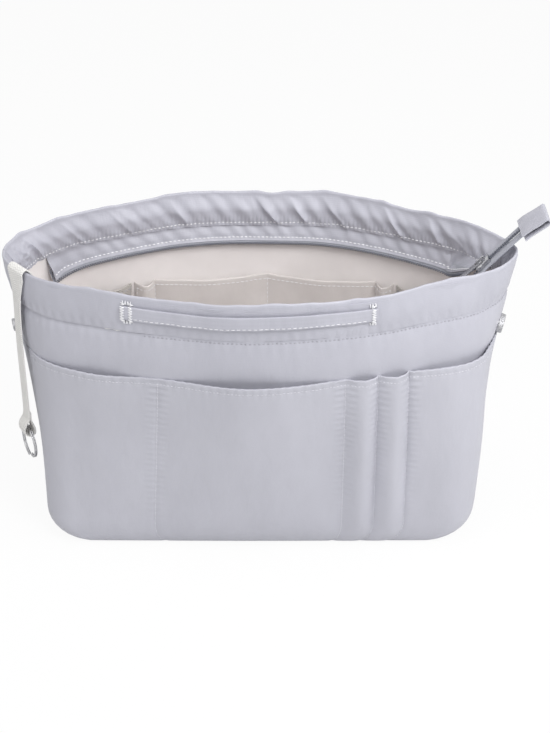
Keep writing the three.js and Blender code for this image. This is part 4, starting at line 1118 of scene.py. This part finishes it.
def endTab():
    low = -zipper["tapeThick"] / 2 - seam["gap"] - tab["wall"] / 2
    high = zipper["tapeThick"] / 2 + zipper["height"] + tab["wall"] / 2 - 0.0001
    flat = tab["length"] - 0.002

    def place(column, row):
        # row 0 to 1 runs up the back, 1 to 2 over the fold at the tip and 2 to 3 down the front
        arc = clamp(row - 1) * np.pi
        along = np.where(row < 1, clamp(row) * flat,
                         np.where(row > 2, (1 - clamp(row - 2)) * flat, flat + tab["tip"] * np.sin(arc)))
        height = (low + high) / 2 - (high - low) / 2 * np.cos(arc)
        share = clamp(along / tab["length"])
        across = column * tab["width"] / 2 * (1 - clamp(row - 1) * (1 - tab["upperShare"]))
        belly = tab["belly"] * (1 - column ** 2) * np.sin(np.pi * np.clip(share, 0.05, 0.95)) \
            * np.where(row > 1.5, 1, -1)
        wobble = tab["wobble"] * smoothNoise(across, along, 83, 0.02)
        across = across * (1 - 0.03 * share) + tab["wobble"] * np.sin(along * 300)
        middle = np.array([tailPoint(t, 0, 0) for t in tab["start"] + along])
        return middle + (height + belly + wobble)[:, None] * tailUp + across[:, None] * np.array([0, 1, 0])

    rows = joined(np.linspace(0, 1, 16), np.linspace(1, 2, 9), np.linspace(2, 3, 16))
    piece = laidGrid(np.linspace(-1, 1, 25), rows, place, (0.014, 0.02))
    withModifier(piece, "SOLIDIFY", thickness=tab["wall"], offset=0)
    return finished(piece, "endTabCloth", "satin", replaced=["zip_end_tab"])


endTab()


# the slider and the pull keep the solids' shape, with their edges eased
def easedCopy(node, name, paint, body, ease):
    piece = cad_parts[node].copy()
    piece.data = piece.data.copy()
    piece.parent = None
    for key in list(piece.keys()):
        del piece[key]
    bpy.context.collection.objects.link(piece)
    piece.matrix_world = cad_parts[node].matrix_world.copy()
    alone(piece)
    bpy.ops.object.transform_apply(location=True, rotation=True, scale=True)
    meshSteps(piece, merged, lambda: bpy.ops.mesh.dissolve_limited(angle_limit=math.radians(2)))
    withModifier(piece, "BEVEL", width=ease, segments=2, limit_method="ANGLE", angle_limit=math.radians(28))
    return finished(piece, name, paint, body, [node], angle=40)


easedCopy("zip_slider", "zipSlider", "nickel", "slider", 0.00022)
easedCopy("zip_pull", "zipPull", "nickel", "pull", 0.00018)

# grab strips

grab = {
    "from": -0.086, "to": 0.077, "below": 0.006, "width": 0.0095, "thick": 0.0014, "free": 0.0009,
    "tackWidth": 0.0055, "tackHeight": 0.013, "tackStep": 0.00085, "tackLean": 0.0005, "tackReach": 0.0017,
    "tackTall": 0.0015, "overStrip": 0.0021, "overFacing": 0.0005,
}
grabCentre = topRise - grab["below"] - grab["width"] / 2


def onFacing(name, s, height, out):
    point, normal = onSurface(facingSurfaces[name], s, height - collarRise)
    return point + normal * np.asarray(out)[..., None], normal


def tackRows(name, corners):
    # slanted stitches set close together along a line of corners
    rows = []
    for (s0, h0), (s1, h1) in zip(corners[:-1], corners[1:]):
        upright = abs(h1 - h0) > 0.001
        count = int((abs(h1 - h0) if upright else abs(s1 - s0) * quarterLength) / grab["tackStep"])
        for k in range(count):
            share = (k + 0.5) / count
            s, h = s0 + (s1 - s0) * share, h0 + (h1 - h0) * share
            lean = grab["tackLean"] * (1 if k % 2 else -1)
            reach = grab["tackReach"] / quarterLength
            along = np.linspace(s - reach, s + reach, 4) if upright else np.linspace(s, s + lean / quarterLength, 4)
            tall = lean if upright else grab["tackTall"]
            out = grab["overStrip"] if abs(h) < grab["width"] / 2 else grab["overFacing"]
            rows.append(onFacing(name, along, grabCentre + np.linspace(h - tall, h + tall, 4), np.full(4, out)))
    return rows


for name, middle in sides.items():
    sign = -1 if name == "front" else 1
    ends = sorted([-sign * grab["from"] / quarterLength, -sign * grab["to"] / quarterLength])

    def standing(s):
        # how free of the facing the strip stands, from 0 at its ends to 1
        return np.sin(np.pi * clamp((s - ends[0]) / (ends[1] - ends[0]))) ** 0.5

    def place(s, row):
        # around the flattened tube: row goes round it once
        c, sn = np.cos(row * 2 * np.pi), np.sin(row * 2 * np.pi)
        along = (s - ends[0]) / (ends[1] - ends[0])
        pinch = np.minimum(1, np.minimum(along, 1 - along) / 0.05)
        width = grab["width"] / 2 * (0.93 + 0.07 * pinch)
        height = grabCentre + width * np.sign(c) * np.abs(c) ** 0.5
        uneven = 0.0004 * smoothNoise(s * quarterLength, height, 91, 0.05) * standing(s)
        swell = grab["thick"] / 2 * (1 + np.sign(sn) * np.abs(sn) ** 0.6)
        edge = 0.0005 * clamp(c) * (sn > 0)
        return onFacing(name, s, height + uneven, 0.0002 + swell + grab["free"] * standing(s) + uneven + edge)[0]

    piece = laidGrid(evenly(ends[0], ends[1], 0.005), np.linspace(0, 1, 25), place, (quarterLength, 0.022))
    meshSteps(piece, merged, endsFilled, facedOut)
    finished(piece, f"{name}GrabStrip", "satin", replaced=[f"grab_strip_{name}"])

    stations = evenly(ends[0] + 0.035, ends[1] - 0.035, 0.006)
    lower = np.full(len(stations), grabCentre - grab["width"] / 2 + 0.0016)
    threadPiece(f"{name}GrabThread", [onFacing(name, stations, lower, 0.0016 + grab["free"] * standing(stations))])

    # the tacks: a sewn box at the left end and a sewn T at the right one
    tall, broad = grab["tackHeight"] / 2, grab["tackWidth"] / quarterLength
    leftEnd, rightEnd = ends[::-sign]
    inner, post = leftEnd - sign * broad, rightEnd + sign * broad / 2
    box = [(leftEnd, -tall), (leftEnd, tall), (inner, tall), (inner, -tall), (leftEnd, -tall)]
    caps = [[(post - broad * 0.42, h), (post + broad * 0.42, h)] for h in (-tall, tall)]
    rows = [row for line in (box, [(post, -tall), (post, tall)], *caps) for row in tackRows(name, line)]
    threadPiece(f"{name}GrabTacks", rows, kind="tack")
print("grab strips sewn")

# inside pockets

# edges in metres along the back wall from its middle, fullness in mm
insidePockets = {
    # the slot row is lining cloth given the darker slot paint, which carries painted shade
    "slotRow": {"node": "inner_pocket_row", "edges": [-0.100, -0.087, -0.006, 0.078, 0.093],
                "fullness": [8.5, 8, 8, 8.5], "foot": 0.052, "paint": "shadedSlots", "slot": "lining", "thread": "thread"},
    "netPocketLeft": {"node": "mesh_pocket_left", "edges": [0.0955, 0.126],
                      "fullness": [8], "foot": 0.060, "paint": "net", "slot": "mesh", "thread": "shadeThread"},
    "netPocketRight": {"node": "mesh_pocket_right", "edges": [-0.128, -0.1025],
                       "fullness": [8], "foot": 0.060, "paint": "net", "slot": "mesh", "thread": "shadeThread"},
}
insideHem = riseAt(0.140)


def insideSurface(data):
    edges = np.array(data["edges"]) / quarterLength
    foot = riseAt(data["foot"])

    def surface(s, row):
        pocket, across = betweenSeams(s, edges)
        rise, inwards = rolledHem(row, insideHem, 0.0007)
        up = clamp((rise - foot) / (insideHem - foot)) ** 0.85
        bulge = np.array(data["fullness"])[pocket] * mm * np.sin(np.pi * across) * up
        folds = 0.0005 * smoothNoise(s * quarterLength, rise * 0.4, 97, 0.03) * up
        base = depths["strip"] + seam["gap"] + 0.0005
        return wallPoint(back + s, rise, base + bulge + folds - inwards)
    return surface


for name, data in insidePockets.items():
    surface = insideSurface(data)
    edges, foot = np.array(data["edges"]) / quarterLength, riseAt(data["foot"])
    columns = joined(*[evenly(a, b, 0.008) for a, b in zip(edges[:-1], edges[1:])])
    rows = joined(evenly(foot, insideHem - 0.01, 0.005), evenly(insideHem - 0.01, insideHem, 0.001),
                  insideHem + evenly(0, 0.0022, 0.00044), insideHem + evenly(0.0022, 0.009, 0.003))[::-1]
    piece = laidCloth(columns, rows, surface, 0.0004)
    finished(piece, f"{name}Cloth", data["paint"], replaced=[data["node"]])
    inset = 0.0014 / quarterLength
    lines = [onSurface(surface, evenly(edges[0] + 0.004, edges[-1] - 0.004, 0.006), insideHem - 0.003, True)]
    lines += [onSurface(surface, np.full(40, edge), np.linspace(foot + 0.002, insideHem - 0.002, 40), True)
              for edge in [edges[0] + inset, *edges[1:-1], edges[-1] - inset]]
    threadPiece(f"{name}Thread", lines, data["thread"])
print("inside pockets sewn")

# snaps

snap = {"height": 0.152, "fromSeam": 0.012, "steps": 40, "ease": 0.00015, "capDepth": 0.0073}


def snapFrame(station, depth):
    rise = riseAt(snap["height"])
    station, depth = np.array(station), float(depth)
    out = outwardAt(station, rise)
    lean = unit(wallPoint(station, rise + 0.006, 0) - wallPoint(station, rise - 0.006, 0))
    side = unit(np.cross(lean, out))
    normal = unit(np.cross(side, lean))
    return side, lean, normal, wallPoint(station, rise, depths["panel"]) + normal * (depths["panel"] - depth)


def turnedPiece(name, profile, station, depth, paint, node):
    side, lean, normal, centre = snapFrame(station, depth)
    edges = [(i, i + 1) for i in range(len(profile) - 1)]
    piece = newPiece(name, [(r * mm, 0, z * mm) for r, z in profile], edges, [])
    spin = lambda: bpy.ops.mesh.spin(steps=snap["steps"], angle=2 * math.pi, center=(0, 0, 0), axis=(0, 0, 1))
    meshSteps(piece, spin, merged, facedOut)
    withModifier(piece, "BEVEL", width=snap["ease"], segments=2, limit_method="ANGLE", angle_limit=math.radians(35))
    flat = pointsOf(piece)
    movedTo(piece, centre + flat[:, :1] * side + flat[:, 1:2] * lean + flat[:, 2:] * normal)
    return finished(piece, name, paint, replaced=[node], angle=35)


# profiles as (radius, height) in mm, from the cloth outwards
studProfile = [(0, 0.9), (1.85, 0.9), (1.85, 0), (6.2, 0), (6.2, 0.8), (3.5, 0.8), (3.5, 1.6), (4.3, 2.4), (4.3, 4.4),
               (3.7, 4.8), (0, 4.8)]
socketProfile = [(0, 0.9), (1.85, 0.9), (1.85, 0), (6.75, 0), (6.75, 1.2), (6.35, 3.8), (4.7, 3.8), (4.7, 1.6),
                 (0, 1.6)]
capPost = 5.3
capProfile = [(0, -1), (5, -1), (6, -0.5), (6, 0), (1.5, 0), (1.5, capPost), (0, capPost)]
offset = snap["fromSeam"] / quarterLength
for name, station, profile in (("leftStud", -1 + offset, studProfile), ("leftSocket", -1 - offset, socketProfile),
                               ("rightSocket", 1 - offset, socketProfile), ("rightStud", 1 + offset, studProfile)):
    node = name.replace("Stud", "_stud").replace("Socket", "_socket")
    turnedPiece(f"{name}Snap", profile, station, depths["panel"] - seam["gap"], "snap", f"snap_{node}")
    turnedPiece(f"{name}Cap", capProfile, station, snap["capDepth"] - seam["satin"], "nickel", f"snap_cap_{node}")
print("snaps turned")

# key strap and ring

strap = {
    "station": -0.835, "width": 0.011, "thick": 0.0012, "insideDrop": 0.034, "outside": 0.0041, "outsideDrop": 0.005,
    "foldGap": 0.0008, "length": 0.120, "loopHeight": 0.013, "loopHalf": 0.0042, "eyeSeam": 0.0007,
    "angle": math.radians(18), "lieX": 0.0020, "footX": 0.0045, "turned": 12, "twistRun": 0.030, "rootWidth": 0.0165,
}
strapOut = outwardAt(np.array(strap["station"]), topRise)
strapZero = wallPoint(np.array(strap["station"]), topRise, depths["panel"])
hangOut = np.array([-math.cos(strap["angle"]), -math.sin(strap["angle"]), 0])
hangSide = np.array([-hangOut[1], hangOut[0], 0])
plumb = np.array([0, 0, 1])
outerX = strap["outside"] + strap["thick"] / 2
hangTop = -strap["outsideDrop"] - strap["foldGap"]
loopFoot = hangTop - strap["length"]
hinge = strapZero + hangOut * outerX + plumb * hangTop


def turnedAbout(direction, degrees):
    turn = math.radians(degrees)
    x, y, z = direction
    return np.array([x * math.cos(turn) - y * math.sin(turn), x * math.sin(turn) + y * math.cos(turn), z])


def flatCurve(points, samples):
    return throughPoints([(x, z, 0) for x, z in points], samples)[:, :2]


def keyStrap():
    # a soft arch over the rim, a turning stretch below it and the folded loop at the foot
    x, drop, bow = strap["lieX"], 0.013, 0.0005
    arch = flatCurve([(-0.0074, -strap["insideDrop"]), (-0.0074, -0.020), (-0.0070, -0.009), (-0.0052, -0.0008),
                      (-0.0014, 0.0031), (0.0016, 0.0014), (x * 0.82, -0.005), (x, -drop)], 60)
    shoulder = loopFoot + strap["loopHeight"]
    high = np.linspace(-drop, shoulder + 0.004, 44)[1:]
    hanging = np.stack([x + (strap["footX"] - x) * (-drop - high) / 0.1 + bow * np.sin((-drop - high) * 46), high], 1)
    x, under = strap["footX"], -strap["thick"]
    half, low = strap["loopHalf"] - strap["thick"] / 2, loopFoot + strap["thick"] / 2
    loop = flatCurve([
        (x + 0.0002, shoulder), (x + half * 0.8, shoulder - 0.0045), (x + half, low + 0.005),
        (x + half * 0.85, low + 0.0015), (x, low), (x - half * 0.85, low + 0.0015), (x - half, low + 0.005),
        (x - half * 0.8, shoulder - 0.0045), (x + under - 0.0003, shoulder), (x + under - 0.0002, shoulder + 0.003),
        (x + under - 0.0003, shoulder + 0.006)], 70)
    path = np.vstack([arch, hanging, loop])
    over = np.arange(len(path)) >= 36
    turned = (eased(-path[:, 1] / strap["twistRun"]) * over)[:, None]
    out = unit(strapOut * (1 - turned) + turnedAbout(hangOut, strap["turned"]) * turned)
    side = np.stack([-out[:, 1], out[:, 0], np.zeros(len(out))], 1)
    narrowed = eased((-path[:, 1] - 0.001) / 0.017) * over
    wide = 1 + (strap["rootWidth"] / strap["width"] - 1) * (1 - narrowed)
    away = unit(strapOut * (1 - turned) + hangOut * turned)
    centres = strapZero + away * path[:, :1] + plumb * path[:, 1:2]
    up = unit(np.cross(side, unit(np.gradient(centres, axis=0))))
    # the root stays on the bag, and the rest is a piece of its own from the crest down
    section = ovalSection(strap["width"], strap["thick"] * 0.94, 20, 5.5)
    crest = int(np.argmax(centres[:60, 2]))
    root, rest = (sweptTube(centres[part], (side * wide[:, None])[part], up[part], section)
                  for part in (slice(0, crest + 1), slice(crest, None)))
    finished(root, "keyStrapRoot", "webbing", replaced=["key_strap_root"])
    finished(rest, "keyStrapWebbing", "webbing", None, ["key_strap"])
    tuple(hinge + plumb * 0.003)
    tuple(hinge - plumb * 0.009)
    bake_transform(rest)


keyStrap()

ring = {
    "radius": 0.0116, "wire": 0.0017, "turn": 0.0008, "gap": 0.00035, "lift": 0.0015, "steps": 72, "turned": 10,
    "inwards": 0.0006,
}
ringDrop = ring["radius"] - math.sqrt(ring["radius"] ** 2 - (strap["width"] / 2) ** 2)
ringTop = strapZero + hangOut * outerX
ringTop[2] = strapZero[2] + loopFoot + strap["thick"] + strap["eyeSeam"] + ring["lift"] + ring["wire"] / 2 + ringDrop


def keyRing():
    # a wire wound twice, which hangs a little turned in its loop
    ringSide, ringOut = turnedAbout(hangSide, ring["turned"]), turnedAbout(hangOut, ring["turned"])
    share = np.linspace(0, 1, ring["steps"] * 2 + 1)
    angle = -np.pi / 2 + share * (4 * np.pi - 0.0005 / ring["radius"])
    pitch = ring["turn"] + ring["gap"]
    radial = np.cos(angle)[:, None] * ringSide + np.sin(angle)[:, None] * plumb
    centres = ringTop - hangOut * ring["inwards"] + radial * ring["radius"] - plumb * ring["radius"] \
        + ((share - 0.5) * 2 * pitch)[:, None] * ringOut
    section = ovalSection(ring["wire"], ring["turn"], 14, 2.8)
    piece = sweptTube(centres, radial, np.tile(ringOut, (len(centres), 1)), section)
    return finished(piece, "keyRingWire", "nickel", "ring", ["key_ring"], angle=60)


keyRing()
print("key strap and ring made")

# floor, light and camera

stageSet = {"floor": 3.0, "paper": 0.8, "drop": 0.0004, "white": 0.93, "sky": 0.44}


def whitePaint(name, shade, share):
    # paper that the camera sees as white, and that the object sees as paper
    paint = Paint(name, Roughness=0.9, Specular_IOR_Level=0.1, Base_Color=(shade, shade, shade))
    glow = paint.add("ShaderNodeEmission", {}, {"Color": (1, 1, 1)})
    paint.surface("Material Output", paint.ray() * share, Wire(paint, paint.shader.outputs[0]), glow)
    return paint.material


bpy.ops.object.select_all(action="DESELECT")
bpy.ops.mesh.primitive_plane_add(size=stageSet["floor"] * 2, location=(0, 0, -stageSet["drop"]))
floor = bpy.context.object
floor.name = "floorPaper"
floor.data.materials.append(whitePaint("floorWhite", stageSet["paper"], stageSet["white"]))
floor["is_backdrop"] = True

world = bpy.context.scene.world or bpy.data.worlds.new("studioWorld")
bpy.context.scene.world = world
world.use_nodes = True
studio = Nodes(world.node_tree)
background = studio.tree.nodes["Background"]
background.inputs["Color"].default_value = (1, 1, 1, 1)
background.inputs["Strength"].default_value = stageSet["sky"]
shown = studio.add("ShaderNodeBackground", {}, {"Color": (1, 1, 1), "Strength": 1})
seen, mirrored = studio.ray(), studio.ray("Is Glossy Ray")
studio.surface("World Output", seen.maths("MAXIMUM", seen, mirrored), Wire(studio, background.outputs[0]), shown)

lamps = {
    "keyLamp": {"place": (0.55, -0.75, 1.05), "power": 8.6, "size": 0.6},
    "fillLamp": {"place": (-0.7, -0.8, 0.95), "power": 4.0, "size": 0.9},
    "topLamp": {"place": (0.0, -0.1, 1.35), "power": 4.2, "size": 0.6},
    "sideLamp": {"place": (1.05, -0.25, 0.66), "power": 3.6, "size": 0.5},
}
aim = Vector((0, 0, 0.11))
for name, data in lamps.items():
    bpy.ops.object.light_add(type="AREA", location=data["place"])
    lamp = bpy.context.object
    lamp.name = name
    lamp.data.energy = data["power"]
    lamp.data.shape = "DISK"
    lamp.data.size = data["size"]
    lamp.rotation_euler = (aim - Vector(data["place"])).to_track_quat("-Z", "Y").to_euler()

shot = {"place": (0.0114, -0.8480, 0.6372), "tilt": math.radians(58), "lens": 70.62}
bpy.ops.object.camera_add(location=shot["place"], rotation=(shot["tilt"], 0, 0))
camera = bpy.context.object
camera.data.lens = shot["lens"]
camera.data.sensor_width = 36
bpy.context.scene.camera = camera
bpy.context.scene.view_settings.view_transform = "Standard"

low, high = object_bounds()
print("stage set")
